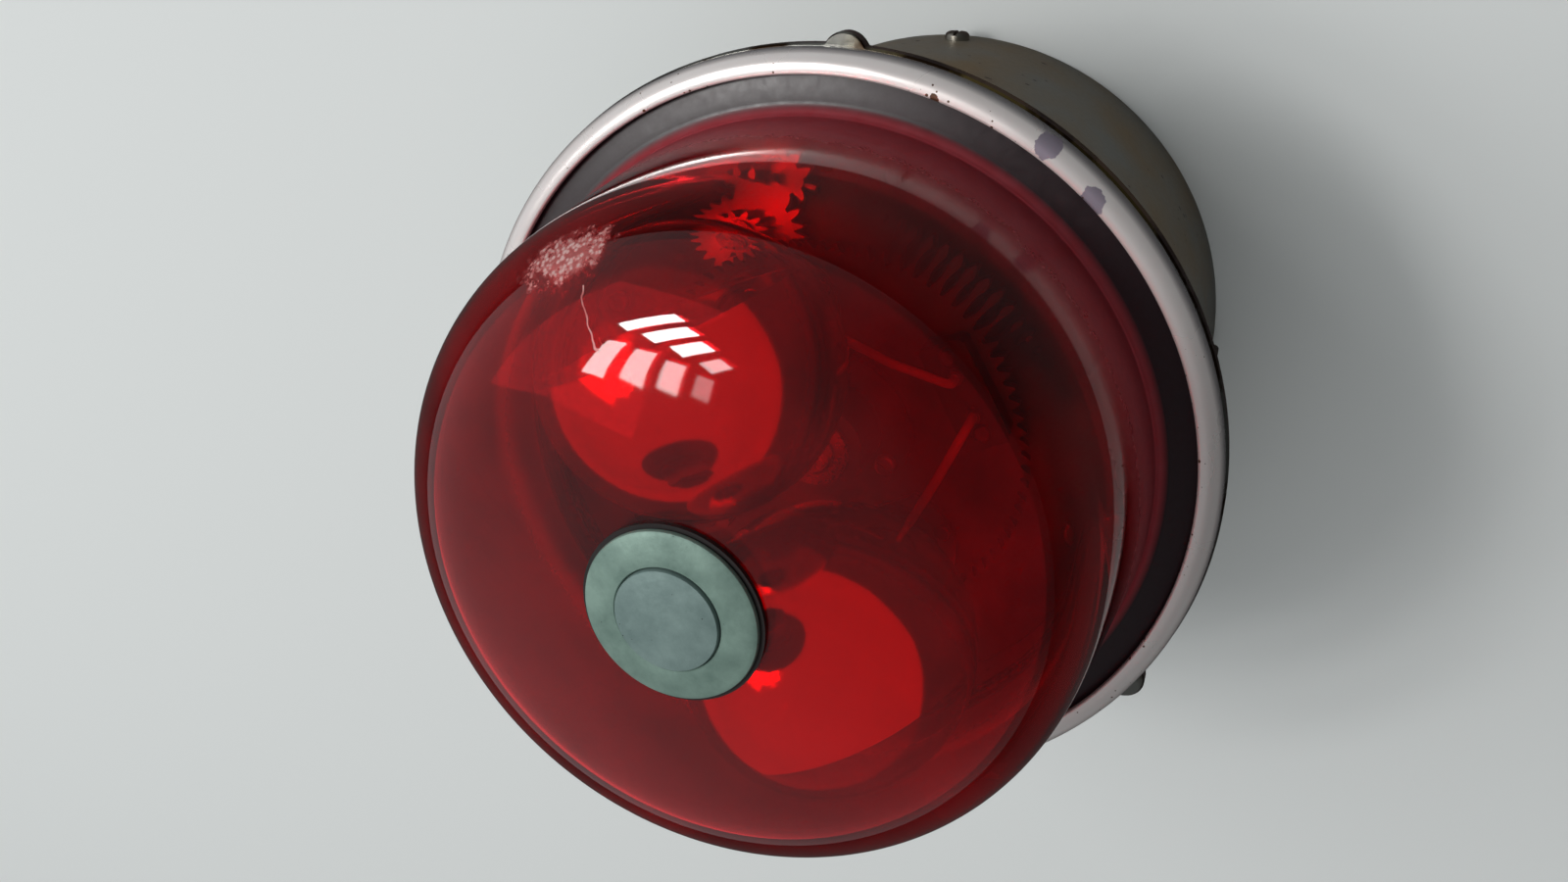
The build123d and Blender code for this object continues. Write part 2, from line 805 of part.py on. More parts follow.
def slip_rings():
    rings = []
    for mid in slip_mid_r:
        rings.append(tube(mid + slip_wide / 2, mid - slip_wide / 2, slip_z, gear_z))
    return rings


def idler_gear():
    # Wheel, pinion and boss in one piece, turning on its pin
    pinion = gear_blank(pinion_teeth, wheel_top, gear_top + pinion_proud, half_pitch(pinion_teeth))
    wheel = gear_blank(idler_wheel_teeth, wheel_z, wheel_top, 0.0)
    boss = rod(idler_hub_r, chassis_top + thrust_gap, wheel_z)
    hole = bore(idler_pin_r + running_clear, chassis_top, gear_top)
    return Pos(idler_x, 0) * (pinion + wheel + boss - hole)


def idler_pin():
    groove_z = gear_top + pinion_proud + clip_gap
    pin = rod(idler_pin_r, chassis_z, groove_z + clip_thick + spindle_past_clip / 2)
    return Pos(idler_x, 0) * (pin - clip_groove(idler_pin_r, groove_z))


def motor_pinion():
    pinion = gear_blank(pinion_teeth, wheel_z - clip_gap, wheel_top + clip_gap, half_pitch(pinion_teeth))
    return Pos(motor_x, 0) * (pinion - rod(shaft_r, chassis_z, gear_top))


def motor_can():
    # Drawn cup, closed at the top by a thick end plate with a bearing pocket and a pilot boss
    plate_z = motor_top - motor_cap_h
    can = tube(motor_r, motor_r - motor_wall, motor_bottom + motor_cap_h, plate_z)
    can += rod(motor_r, plate_z, motor_top) + rod(motor_boss_r, motor_top, motor_top + motor_boss_h)
    can -= rod(bearing_r, plate_z - cutter_past, plate_z + bearing_h)
    can -= bore(shaft_r + 2 * hole_clear, plate_z, motor_top + motor_boss_h)
    for y in (motor_screw_circle, -motor_screw_circle):
        can -= Pos(0, y) * bore(screw_r, plate_z, motor_top)
    return Pos(motor_x, 0) * can


def motor_end_cap():
    top = motor_bottom + motor_cap_h
    cap = fillet(rod(motor_r, motor_bottom, top).edges().sort_by(Axis.Z)[0], motor_wall)
    cap -= rod(bearing_r, top - bearing_h, top + cutter_past)
    cap = Pos(motor_x, 0) * cap
    for x in motor_post_xs():
        cap -= Pos(x, motor_post_y) * bore(post_r, motor_bottom, top)
    return cap


def motor_post_xs():
    return motor_x - motor_post_apart / 2, motor_x + motor_post_apart / 2


def motor_posts():
    post = rod(post_r, motor_bottom - post_h, motor_bottom + motor_cap_h)
    return [Pos(x, motor_post_y) * post for x in motor_post_xs()]


def motor_bearings():
    top = motor_top - motor_cap_h
    bottom = motor_bottom + motor_cap_h - bearing_h
    bearing = Pos(motor_x, 0) * tube(bearing_r, shaft_r + running_clear, 0, bearing_h)
    return [Pos(0, 0, z) * bearing for z in (top, bottom)]


def motor_magnets():
    middle = (motor_top + motor_bottom) / 2
    r_out = motor_r - motor_wall
    half = armature_h / 2 + magnet_past
    ring = tube(r_out, r_out - magnet_thick, middle - half, middle + half)
    spread = radians(magnet_arc / 2)
    reach = 2 * motor_r
    wedge = Polyline((0, 0), (reach * cos(spread), reach * sin(spread)), (2 * reach, 0),
                     (reach * cos(spread), -reach * sin(spread)), close=True)
    wedge = extrude(make_face(wedge), motor_top)
    return [Pos(motor_x, 0) * (ring & (Rot(0, 0, a) * wedge)) for a in (0, 180)]


def motor_armature():
    # Slotted iron core with the commutator below it
    r = motor_r - motor_wall - magnet_thick - armature_gap
    middle = (motor_top + motor_bottom) / 2
    core = rod(r, middle - armature_h / 2, middle + armature_h / 2)
    for a in around(armature_slots):
        slot = block(2 * slot_deep, slot_wide, middle - armature_h, middle + armature_h)
        core -= out_at(slot, r, a)
    core += rod(commutator_r, middle - armature_h / 2 - commutator_h, middle - armature_h / 2)
    return Pos(motor_x, 0) * (core - rod(shaft_r, 0, motor_top))


def motor_shaft():
    return Pos(motor_x, 0) * rod(shaft_r, motor_bottom + shaft_end, wheel_top + 2 * clip_gap)


def brush_block():
    body = block(block_long, block_wide, block_z, block_top)
    body += block(block_long, block_wide + 2 * block_ear, chassis_top, chassis_top + block_ear_h)
    pocket = rod(brush_r + pocket_clear, block_z + block_floor, block_top + cutter_past)
    for r in slip_mid_r:
        body -= Pos(-r - block_x, 0) * pocket
    for y in ((block_wide + block_ear) / 2, -(block_wide + block_ear) / 2):
        body -= Pos(0, y) * bore(screw_r + hole_clear, chassis_top, chassis_top + block_ear_h)
    return Pos(block_x, 0) * body


def brushes():
    return [Pos(-r, 0) * rod(brush_r, brush_z, brush_z + brush_len) for r in slip_mid_r]


def brush_springs():
    low = block_z + block_floor + spring_wire_r
    rise = brush_z - spring_wire_r - low
    coil_r = brush_r - 2 * spring_wire_r
    path = Helix(rise / spring_turns, rise, coil_r)
    coil = sweep(Plane(origin=path @ 0, z_dir=path % 0) * Circle(spring_wire_r), path, is_frenet=True)
    return [Pos(-r, 0, low) * coil for r in slip_mid_r]


def lamp_pair(shape):
    # The same piece on the lamp at +X and on the one opposite
    moved = Pos(lamp_offset, 0) * shape
    return moved, Rot(0, 0, 180) * moved


def lamp_holder():
    # Slotted tube on a foot that is cut flat towards the hub and the gear's teeth
    foot = rod(socket_foot_r, gear_top, gear_top + socket_foot_h)
    foot &= block(2 * socket_r, 2 * socket_foot_r, gear_top, socket_top)
    holder = tube(socket_r, socket_in_r, gear_top, socket_top) + foot
    holder += rod(socket_in_r, gear_top, socket_floor_z)
    pin_z = cap_z + cap_pin_up
    slot = block(socket_slot, 4 * socket_r, pin_z - socket_slot / 2, socket_top + cutter_past)
    holder -= slot - rod(socket_in_r - socket_rib, 0, 2 * socket_top)
    for y in (rivet_circle, -rivet_circle):
        holder -= Pos(0, y) * bore(rivet_r, gear_top, gear_top + socket_foot_h)
    return holder


def lamp_cap():
    cap = rod(cap_shell_r, cap_z, cap_top)
    cap -= rod(cap_shell_r - cap_wall, cap_z + cap_floor, cap_top + cutter_past)
    pins = Rot(90, 0, 0) * Cylinder(cap_pin_r, 2 * (cap_shell_r + cap_pin_out))
    pins = Pos(0, 0, cap_z + cap_pin_up) * pins - rod(cap_shell_r - cap_wall, 0, 2 * cap_top)
    return cap + pins + rod(contact_r, cap_z - contact_h, cap_z)


def lamp_globe():
    # Blown globe with its neck, open at the neck's end where the stem closes it
    inner_r = lamp_r - lamp_glass
    inner_neck = neck_r - lamp_glass
    globe = Pos(0, 0, lamp_z) * Sphere(lamp_r) + rod(neck_r, neck_z, lamp_z)
    return globe - Pos(0, 0, lamp_z) * Sphere(inner_r) - rod(inner_neck, neck_z - cutter_past, lamp_z)


def lamp_mirror():
    # Silvering on the inside of the globe, up to a plane past its middle on the outward side
    outer_r = lamp_r - lamp_glass - silver_play
    coat = Pos(0, 0, lamp_z) * (Sphere(outer_r) - Sphere(outer_r - silver_thick))
    coat -= rod(neck_r, 0, lamp_z)
    keep = Pos(silver_past - 2 * lamp_r, 0, lamp_z) * Box(4 * lamp_r, 4 * lamp_r, 4 * lamp_r)
    return coat & keep


def lamp_filament():
    # Glass stem, two support wires and the filament across the middle of the globe
    stem = rod(neck_r - lamp_glass, neck_z, neck_z + stem_disc) + rod(stem_r, neck_z, neck_z + stem_h)
    tip_x = filament_len / 2 - 2 * support_r
    supports = []
    for side in (1, -1):
        start = (side * support_spread / 2, neck_z + stem_h - stem_disc)
        bend = (side * tip_x, neck_z + stem_h + support_spread)
        points = [(0, y, z) for y, z in (start, bend, (side * tip_x, lamp_z))]
        supports.append(wire(points, support_r, support_bend))
    coil = Pos(0, 0, lamp_z) * Rot(90, 0, 0) * Cylinder(filament_r, filament_len)
    return stem, supports[0] + supports[1] + coil - stem


def lead_block():
    body = block(lead_block_long, lead_block_wide, gear_top, block_post_z)
    body = chamfer(body.edges().filter_by(Axis.Z), block_corner)
    for x in (small_rivet_apart / 2, -small_rivet_apart / 2):
        body -= Pos(x, 0) * bore(rivet_r, gear_top, block_post_z)
    for x in (lead_post_apart / 2, -lead_post_apart / 2):
        body -= Pos(x, 0) * rod(post_r, block_post_z - post_h, block_post_z + cutter_past)
    return Pos(0, -lead_block_out) * body


def lead_posts():
    post = rod(post_r, block_post_z - post_h, block_post_z + post_h / 2)
    return [Pos(x, -lead_block_out) * post for x in (lead_post_apart / 2, -lead_post_apart / 2)]


def lamp_leads():
    # From each post over to the lamp holder beside it, seen as a V from above
    leads = []
    top = block_post_z + post_h / 2
    for side in (1, -1):
        x, y = side * lead_post_apart / 2, -lead_block_out
        away_x, away_y = side * lamp_offset - x, -y
        inward = 1 - (socket_r + lead_r / 2) / hypot(away_x, away_y)
        over = (x + away_x * lead_over_share, y + away_y * lead_over_share, top + lead_rise)
        end = (x + away_x * inward, y + away_y * inward, gear_top + lead_entry_up)
        leads.append(wire([(x, y, top), (x, y, top + lead_rise), over, end], lead_r, lead_bend))
    return leads


def balance_weight():
    body = block(weight_long, weight_wide, gear_top, gear_top + weight_h)
    body = chamfer(body.edges().filter_by(Axis.Z), block_corner)
    for x in (small_rivet_apart / 2, -small_rivet_apart / 2):
        body -= Pos(x, 0) * bore(rivet_r, gear_top, gear_top + weight_h)
    return Pos(0, weight_out) * body


def connector_corners():
    at = (connector_screw_at, -connector_screw_at)
    return [(x, y) for x in at for y in at]


def connector_shell():
    top = cover_z
    shell = block(connector_flange, connector_flange, top - connector_flange_h, top)
    shell = fillet(shell.edges().filter_by(Axis.Z), connector_head_r)
    shell += rod(shell_r, mouth_z, top)
    shell -= bore(shell_r - shell_wall, mouth_z, top)
    for x, y in connector_corners():
        shell -= Pos(x, y) * bore(connector_shank_r + hole_clear, top - connector_flange_h, top)
    return shell


def connector_screws():
    shank = connector_flange_h + cover_thick + screw_past
    screw = Rot(180, 0, 0) * pan_screw(connector_head_r, connector_head_h, connector_shank_r, shank)
    return [Pos(x, y, cover_z - connector_flange_h) * screw for x, y in connector_corners()]


def connector_insert():
    body = rod(shell_r - shell_wall - insert_play, insert_z, insert_top)
    for a in around(pin_count, 90.0):
        body -= out_at(bore(pin_r, insert_z, insert_top), pin_circle_r, a)
    return body


def connector_pins():
    pin = rod(pin_r, insert_z - pin_out, insert_top + pin_back)
    pin = fillet(pin.edges().sort_by(Axis.Z)[0], pin_round * pin_r)
    return [out_at(pin, pin_circle_r, a) for a in around(pin_count, 90.0)]


def filter_can():
    body = fillet(rod(can_r, can_z, chassis_z - clamp_sheet).edges().sort_by(Axis.Z)[0], clamp_sheet)
    for x in (can_post_apart / 2, -can_post_apart / 2):
        body += Pos(x, 0) * rod(post_r, can_z - post_h, can_z + clamp_sheet)
    return Pos(can_x, can_y) * body


def filter_clamp():
    # Cup of sheet round the can's upper end, with a tab riveted to the chassis
    top = chassis_z
    cup = tube(can_r + clamp_sheet, can_r, top - clamp_h, top)
    cup += rod(can_r + clamp_sheet, top - clamp_sheet, top)
    tab = Pos(can_r + clamp_tab / 2, 0) * block(clamp_tab + clamp_sheet, clamp_tab, top - clamp_sheet, top)
    return Pos(can_x, can_y) * (cup + tab)


def strip_post_xs():
    first = -strip_post_pitch * (strip_post_count - 1) / 2
    return [strip_x + first + strip_post_pitch * i for i in range(strip_post_count)]


def terminal_strip():
    body = Pos(strip_x, strip_y) * block(strip_long, strip_wide, strip_z, chassis_z)
    for x in strip_post_xs():
        body -= Pos(x, strip_y) * rod(post_r, strip_z - cutter_past, strip_z + post_h)
    return body


def strip_posts():
    return [Pos(x, strip_y) * rod(post_r, strip_z - post_h / 2, strip_z + post_h) for x in strip_post_xs()]


def supply_leads():
    # From the back of each connector pin to the terminal strip, each at its own height
    leads = []
    low = insert_top + pin_back
    for i, a in enumerate(around(pin_count, 90.0)):
        x, y = on_circle(pin_circle_r, a)
        post_x = strip_post_xs()[i]
        level = low + wire_drop * (i + 1)
        end = (post_x, strip_y, strip_z - post_h / 2)
        leads.append(wire([(x, y, low), (x, y, level), (post_x, strip_y, level), end], wire_r, wire_bend))
    return leads


def motor_leads():
    # From the filter can's posts down, then level into the sides of the motor's posts
    leads = []
    level = motor_bottom - post_h / 2
    for side, post_x in zip((-1, 1), motor_post_xs()):
        x = can_x + side * can_post_apart / 2
        away_x, away_y = post_x - x, motor_post_y - can_y
        reach = 1 - post_r / hypot(away_x, away_y)
        end = (x + away_x * reach, can_y + away_y * reach, level)
        leads.append(wire([(x, can_y, can_z - post_h), (x, can_y, level), end], wire_r, wire_bend))
    return leads


def brush_leads():
    # From under each brush into the side of the terminal strip
    leads = []
    level = block_z - wire_drop
    into = strip_y + strip_wide / 2
    for i, r in enumerate(slip_mid_r):
        across = strip_x + strip_long / 2 - wire_drop * (i + 0.5)
        back = into + wire_drop
        entry = strip_z + wire_bend
        points = [(-r, 0, block_z), (-r, 0, level), (across, back, level), (across, back, entry)]
        leads.append(wire(points + [(across, into, entry)], wire_r, wire_bend / 2))
    return leads


os.makedirs("parts", exist_ok=True)

# Shell, glass and seals
save("base_housing", base_housing())
save("bottom_cover", bottom_cover())
save("cover_screws", *cover_screws())
save("mounting_flange", mounting_flange())
save("lens_seat_gasket", seat_gasket())
save("lens_dome", lens_dome())
save("lens_ring_strip", lens_strip())
save("retaining_ring", retaining_ring())
save("ring_screws", *ring_screws())
save("plug_gasket", plug_gasket())
save("plug_washer", plug_washer())
save("plug_bolt", plug_bolt())
save("plug_inner_washer", plug_inner_washer())
save("plug_nut", plug_nut())

# Chassis, drive motor and brushes
save("chassis_plate", chassis_plate())
save("chassis_brackets", *chassis_brackets())
save("chassis_screws", *chassis_screws())
save("spindle", spindle())
save("spindle_nut", spindle_nut())
save("thrust_washer", thrust_washer())
save("idler_pin", idler_pin())
save("shaft_clips", *shaft_clips())
save("motor_can", motor_can())
save("motor_end_cap", motor_end_cap())
save("motor_posts", *motor_posts())
save("motor_bearings", *motor_bearings())
save("motor_magnets", *motor_magnets())
save("brush_block", brush_block())
save("slip_brushes", *brushes())
save("brush_springs", *brush_springs())
save("connector_shell", connector_shell())
save("connector_screws", *connector_screws())
save("connector_insert", connector_insert())
save("connector_pins", *connector_pins())
save("filter_can", filter_can())
save("filter_clamp", filter_clamp())
save("terminal_strip", terminal_strip())
save("strip_posts", *strip_posts())
save("chassis_wiring", *supply_leads(), *motor_leads(), *brush_leads())

# Turning pieces of the drive
save("motor_shaft", motor_shaft())
save("motor_armature", motor_armature())
save("motor_pinion", motor_pinion())
save("idler_gear", idler_gear())

# Lamp carriage
save("carriage_hub", carriage_hub())
save("hub_bushes", *hub_bushes())
save("hub_screws", *hub_screws())
save("carriage_gear", carriage_gear())
save("carriage_rivets", *carriage_rivets())
save("slip_rings", *slip_rings())
save("lead_block", lead_block())
save("lead_posts", *lead_posts())
save("lamp_leads", *lamp_leads())
save("balance_weight", balance_weight())
save("lamp_holders", *lamp_pair(lamp_holder()))
save("lamp_caps", *lamp_pair(lamp_cap()))
save("lamp_globes", *lamp_pair(lamp_globe()))
save("lamp_mirrors", *lamp_pair(lamp_mirror()))
stem, filament = lamp_filament()
save("lamp_stems", *lamp_pair(stem))
save("lamp_filaments", *lamp_pair(filament))
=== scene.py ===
import math
import bmesh
import bpy
from mathutils import Matrix, Vector


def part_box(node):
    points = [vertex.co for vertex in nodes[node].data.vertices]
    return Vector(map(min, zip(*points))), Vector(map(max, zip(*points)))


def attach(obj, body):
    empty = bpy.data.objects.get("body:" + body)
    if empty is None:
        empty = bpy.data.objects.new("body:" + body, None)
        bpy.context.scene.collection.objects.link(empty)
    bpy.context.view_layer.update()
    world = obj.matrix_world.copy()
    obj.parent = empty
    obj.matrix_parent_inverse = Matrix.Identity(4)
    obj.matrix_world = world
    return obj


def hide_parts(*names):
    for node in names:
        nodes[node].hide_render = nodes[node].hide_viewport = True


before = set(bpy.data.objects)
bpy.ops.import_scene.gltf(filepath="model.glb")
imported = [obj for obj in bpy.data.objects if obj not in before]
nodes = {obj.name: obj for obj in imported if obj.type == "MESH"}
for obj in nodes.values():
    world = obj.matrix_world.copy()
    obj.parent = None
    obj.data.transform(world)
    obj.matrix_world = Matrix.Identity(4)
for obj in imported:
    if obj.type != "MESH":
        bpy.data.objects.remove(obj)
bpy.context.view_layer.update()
scene = bpy.context.scene


# Camera, floor and light. The camera looks down past the tip of the dome, rolled so that the
# housing runs off to the upper right. Light falls through a large paned softbox, high on one
# side, and from a pale surround that is brighter on that side.
camera_data = bpy.data.cameras.new("camera")
camera_data.lens = 29.25
camera_data.sensor_width = 36.0
camera = bpy.data.objects.new("camera", camera_data)
scene.collection.objects.link(camera)
camera_place = Vector((0.05657, -0.11102, 0.29877))
image_right = Vector((-0.41987, -0.83180, -0.36308))
image_up = Vector((0.88082, -0.27701, -0.38395))
image_out = image_right.cross(image_up)
turn = Matrix((image_right, image_up, image_out)).transposed().to_4x4()
camera.matrix_world = Matrix.Translation(camera_place) @ turn
scene.camera = camera
scene.view_settings.view_transform = "Standard"


def srgb(code):
    # Hex colour as written to the linear values that shaders take
    parts = [int(code[i:i + 2], 16) / 255 for i in (1, 3, 5)]
    return [p / 12.92 if p <= 0.04045 else ((p + 0.055) / 1.055) ** 2.4 for p in parts] + [1.0]


def add(tree, kind, plugs=None, **settings):
    # One node with its settings, and its inputs either linked or set
    node = tree.nodes.new(kind)
    for name, value in settings.items():
        setattr(node, name, value)
    for name, value in (plugs or {}).items():
        if isinstance(value, bpy.types.NodeSocket):
            tree.links.new(value, node.inputs[name])
        else:
            node.inputs[name].default_value = value
    return node


def new_finish(name):
    finish = bpy.data.materials.new(name)
    finish.use_nodes = True
    finish.node_tree.nodes.clear()
    return finish, finish.node_tree


def close_finish(tree, surface):
    add(tree, "ShaderNodeOutputMaterial", {"Surface": surface})


# Floor: matt pale laminate, plain. Reflections on the lamp see it darker, because the real lamp
# lay on its side and its glass faced a dim room.
floor_finish, tree = new_finish("pale matt laminate")
lit = add(tree, "ShaderNodeBsdfPrincipled", {"Base Color": srgb("#d2d6d5"), "Roughness": 0.8})
dim = add(tree, "ShaderNodeBsdfPrincipled", {"Base Color": srgb("#443b3b"), "Roughness": 0.8})
mirrored = add(tree, "ShaderNodeLightPath").outputs["Is Glossy Ray"]
surface = add(tree, "ShaderNodeMixShader", {0: mirrored, 1: lit.outputs["BSDF"], 2: dim.outputs["BSDF"]})
close_finish(tree, surface.outputs["Shader"])
floor_mesh = bpy.data.meshes.new("floor")
reach = 6.0
floor_mesh.from_pydata(
    [(-reach, -reach, 0), (reach, -reach, 0), (reach, reach, 0), (-reach, reach, 0)], [], [(0, 1, 2, 3)],
)
floor_mesh.materials.append(floor_finish)
floor = bpy.data.objects.new("floor", floor_mesh)
scene.collection.objects.link(floor)

world = bpy.data.worlds.new("pale surround")
scene.world = world
world.use_nodes = True
world.node_tree.nodes["Background"].inputs["Color"].default_value = srgb("#e3e7ea")
heading = add(world.node_tree, "ShaderNodeTexCoord").outputs["Generated"]
towards = add(world.node_tree, "ShaderNodeVectorMath", {
    0: heading, 1: (0.25, 0.84, -0.48),
}, operation="DOT_PRODUCT")
level = add(world.node_tree, "ShaderNodeMapRange", {
    "Value": towards.outputs["Value"], "From Min": -0.75, "From Max": 0.85, "To Min": 0.06, "To Max": 0.62,
})
rays = add(world.node_tree, "ShaderNodeLightPath").outputs
backdrop = add(world.node_tree, "ShaderNodeMath", {
    0: rays["Is Camera Ray"], 1: rays["Is Transmission Ray"],
}, operation="MAXIMUM")
strength = add(world.node_tree, "ShaderNodeMix", {
    "Factor": backdrop.outputs["Value"], "A": level.outputs["Result"], "B": 0.9,
})
world.node_tree.links.new(
    strength.outputs["Result"], world.node_tree.nodes["Background"].inputs["Strength"],
)

# Softbox of eight panes in two rows of four, given by its four corners in metres
corner_places = ((0.342, 0.816, 1.273), (0.811, 0.346, 1.337), (0.271, 0.329, 1.492), (0.142, 0.468, 1.470))
pane_corners = [Vector(p) for p in corner_places]
row_spans = ((0.0, 0.357), (0.53, 1.0))
column_spans = ((0.0, 0.199), (0.318, 0.506), (0.602, 0.767), (0.868, 1.0))
pane_glow = ((10.0, 9.0, 8.0, 3.0), (22.0, 24.0, 19.0, 8.0))


def pane_point(along, across):
    low = pane_corners[0].lerp(pane_corners[3], along)
    high = pane_corners[1].lerp(pane_corners[2], along)
    return low.lerp(high, across)


for row, (start, end) in enumerate(row_spans):
    for column, (left, right) in enumerate(column_spans):
        quad = [pane_point(a, b) for a, b in ((left, start), (right, start), (right, end), (left, end))]
        middle = sum(quad, Vector()) / 4
        along = ((quad[1] - quad[0]) + (quad[2] - quad[3])) / 2
        across = ((quad[3] - quad[0]) + (quad[2] - quad[1])) / 2
        facing = along.cross(across).normalized()
        if facing.dot(middle) < 0:
            facing = -facing
        pane_data = bpy.data.lights.new(f"softbox_pane_{row}_{column}", "AREA")
        pane_data.shape = "RECTANGLE"
        pane_data.size = along.length
        pane_data.size_y = across.length
        pane_data.energy = 4 * along.length * across.length * pane_glow[row][column]
        pane_data.color = (1.0, 0.98, 0.97)
        pane = bpy.data.objects.new(pane_data.name, pane_data)
        x_axis = along.normalized()
        y_axis = facing.cross(x_axis)
        pane_turn = Matrix((x_axis, y_axis, facing)).transposed().to_4x4()
        pane.matrix_world = Matrix.Translation(middle) @ pane_turn
        pane.visible_camera = False
        scene.collection.objects.link(pane)

# Broad soft light behind the softbox, on the same side
fill_data = bpy.data.lights.new("broad_fill", "AREA")
fill_data.shape = "RECTANGLE"
fill_data.size = 1.2
fill_data.size_y = 1.0
fill_data.energy = 10.0
fill = bpy.data.objects.new("broad_fill", fill_data)
fill_place = Vector((0.80, 0.75, 1.30))
fill.matrix_world = Matrix.Translation(fill_place) @ fill_place.to_track_quat("Z", "Y").to_matrix().to_4x4()
fill.visible_camera = False
fill.visible_glossy = False
scene.collection.objects.link(fill)

# Even light from straight above, which keeps the shadows soft
top_data = bpy.data.lights.new("overhead_light", "AREA")
top_data.shape = "DISK"
top_data.size = 2.4
top_data.energy = 15.0
top_light = bpy.data.objects.new("overhead_light", top_data)
top_light.location = (-0.3, -0.2, 2.2)
top_light.visible_camera = False
top_light.visible_glossy = False
top_light.visible_transmission = False
scene.collection.objects.link(top_light)


# Housing: a deep can drawn from sheet steel, with a grey-green satin finish gone brown in
# clouds and specked with age. Its lower edge is the rim that the lamp stands on.
def mm(*values):
    return [v * 0.001 for v in values]


def rounded(corners, closed=True):
    # Outline through (radius, height, rounding) corners in millimetres, with arcs where asked
    points = []
    count = len(corners)
    for i, (x, z, r) in enumerate(corners):
        ends = not closed and i in (0, count - 1)
        if r <= 0 or ends:
            points.append((x, z))
            continue
        here = Vector((x, z))
        back = (Vector(corners[i - 1][:2]) - here).normalized()
        on = (Vector(corners[(i + 1) % count][:2]) - here).normalized()
        half = back.angle(on) / 2
        centre = here + (back + on).normalized() * (r / math.sin(half))
        start = here + back * (r / math.tan(half)) - centre
        end = here + on * (r / math.tan(half)) - centre
        sweep = start.angle_signed(end)
        steps = max(3, int(abs(math.degrees(sweep)) / 15) + 1)
        for k in range(steps + 1):
            spoke = start.copy()
            spoke.rotate(Matrix.Rotation(-sweep * k / steps, 2))
            points.append(tuple(centre + spoke))
    return points


def arc(centre, r, first_deg, last_deg, steps):
    angles = [math.radians(first_deg + (last_deg - first_deg) * i / steps) for i in range(steps + 1)]
    return [(centre[0] + r * math.cos(a), centre[1] + r * math.sin(a)) for a in angles]


def link_output(tree, kind, name):
    tree.interface.new_socket(name=name, in_out="OUTPUT", socket_type=kind)


def tree_input(tree, kind, name):
    return tree.interface.new_socket(name=name, in_out="INPUT", socket_type=kind).identifier


# Tree that turns an outline about the upright axis, as a lathe or a spinning chuck does
turning = bpy.data.node_groups.new("turn an outline", "GeometryNodeTree")
tree_input(turning, "NodeSocketGeometry", "Outline")
facets_input = tree_input(turning, "NodeSocketInt", "Facets round")
path_input = tree_input(turning, "NodeSocketFloat", "Path radius")
finish_input = tree_input(turning, "NodeSocketMaterial", "Finish")
link_output(turning, "NodeSocketGeometry", "Piece")
given = add(turning, "NodeGroupInput")
outline_curve = add(turning, "GeometryNodeMeshToCurve", {"Mesh": given.outputs["Outline"]})
path = add(turning, "GeometryNodeCurvePrimitiveCircle", {
    "Resolution": given.outputs["Facets round"], "Radius": given.outputs["Path radius"],
})
skin = add(turning, "GeometryNodeCurveToMesh", {
    "Curve": path.outputs["Curve"], "Profile Curve": outline_curve.outputs["Curve"],
})
merged = add(turning, "GeometryNodeMergeByDistance", {"Geometry": skin.outputs["Mesh"], "Distance": 1e-6})
solid = add(turning, "GeometryNodeRealizeInstances", {"Geometry": merged.outputs["Geometry"]})
finished = add(turning, "GeometryNodeSetMaterial", {
    "Geometry": solid.outputs["Geometry"], "Material": given.outputs["Finish"],
})
add(turning, "NodeGroupOutput", {"Piece": finished.outputs["Geometry"]})


def settle(obj, sharp_deg=32.0):
    # Evaluated geometry to a plain mesh with its faces outward and its edges sharp where they turn
    bpy.context.view_layer.update()
    seen = obj.evaluated_get(bpy.context.evaluated_depsgraph_get())
    mesh = bpy.data.meshes.new_from_object(seen)
    obj.modifiers.clear()
    obj.data = mesh
    work = bmesh.new()
    work.from_mesh(mesh)
    bmesh.ops.remove_doubles(work, verts=work.verts, dist=1e-6)
    bmesh.ops.recalc_face_normals(work, faces=work.faces)
    for face in work.faces:
        face.smooth = True
    work.to_mesh(mesh)
    work.free()
    mesh.set_sharp_from_angle(angle=math.radians(sharp_deg))
    return obj


def turned(name, points, finish, closed=True, facets=240, sharp_deg=32.0):
    path_r = 0.001
    mesh = bpy.data.meshes.new(name)
    edges = [(i, i + 1) for i in range(len(points) - 1)]
    if closed:
        edges.append((len(points) - 1, 0))
    mesh.from_pydata([(x * 0.001 - path_r, -z * 0.001, 0) for x, z in points], edges, [])
    obj = bpy.data.objects.new(name, mesh)
    scene.collection.objects.link(obj)
    lathe = obj.modifiers.new("lathe", "NODES")
    lathe.node_group = turning
    lathe[facets_input] = facets
    lathe[path_input] = path_r
    lathe[finish_input] = finish
    return settle(obj, sharp_deg)


def stand_for(obj, body, slot, *replaced):
    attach(obj, body)
    if replaced:
        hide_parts(*replaced)


def scale_for(size_mm):
    # Scale of a pattern whose marks come out at this size
    return 1000 / size_mm


# Plating over drawn steel: a soft even sheen, fine drawing streaks, brown clouds, rust specks
housing_finish, tree = new_finish("satin olive-grey plated steel")
place = add(tree, "ShaderNodeTexCoord").outputs["Object"]
clouds = add(tree, "ShaderNodeTexNoise", {
    "Vector": place, "Scale": scale_for(29.4), "Detail": 5.0, "Roughness": 0.62,
})
specks = add(tree, "ShaderNodeTexVoronoi", {"Vector": place, "Scale": scale_for(2.38), "Randomness": 1.0})
speck_size = add(tree, "ShaderNodeTexNoise", {"Vector": place, "Scale": scale_for(6.67), "Detail": 2.0})
streaks = add(tree, "ShaderNodeTexNoise", {"Vector": place, "Scale": scale_for(1.11), "Detail": 3.0})
brown_share = add(tree, "ShaderNodeMapRange", {
    "Value": clouds.outputs["Fac"], "From Min": 0.42, "From Max": 0.68, "To Min": 0.0, "To Max": 0.85,
})
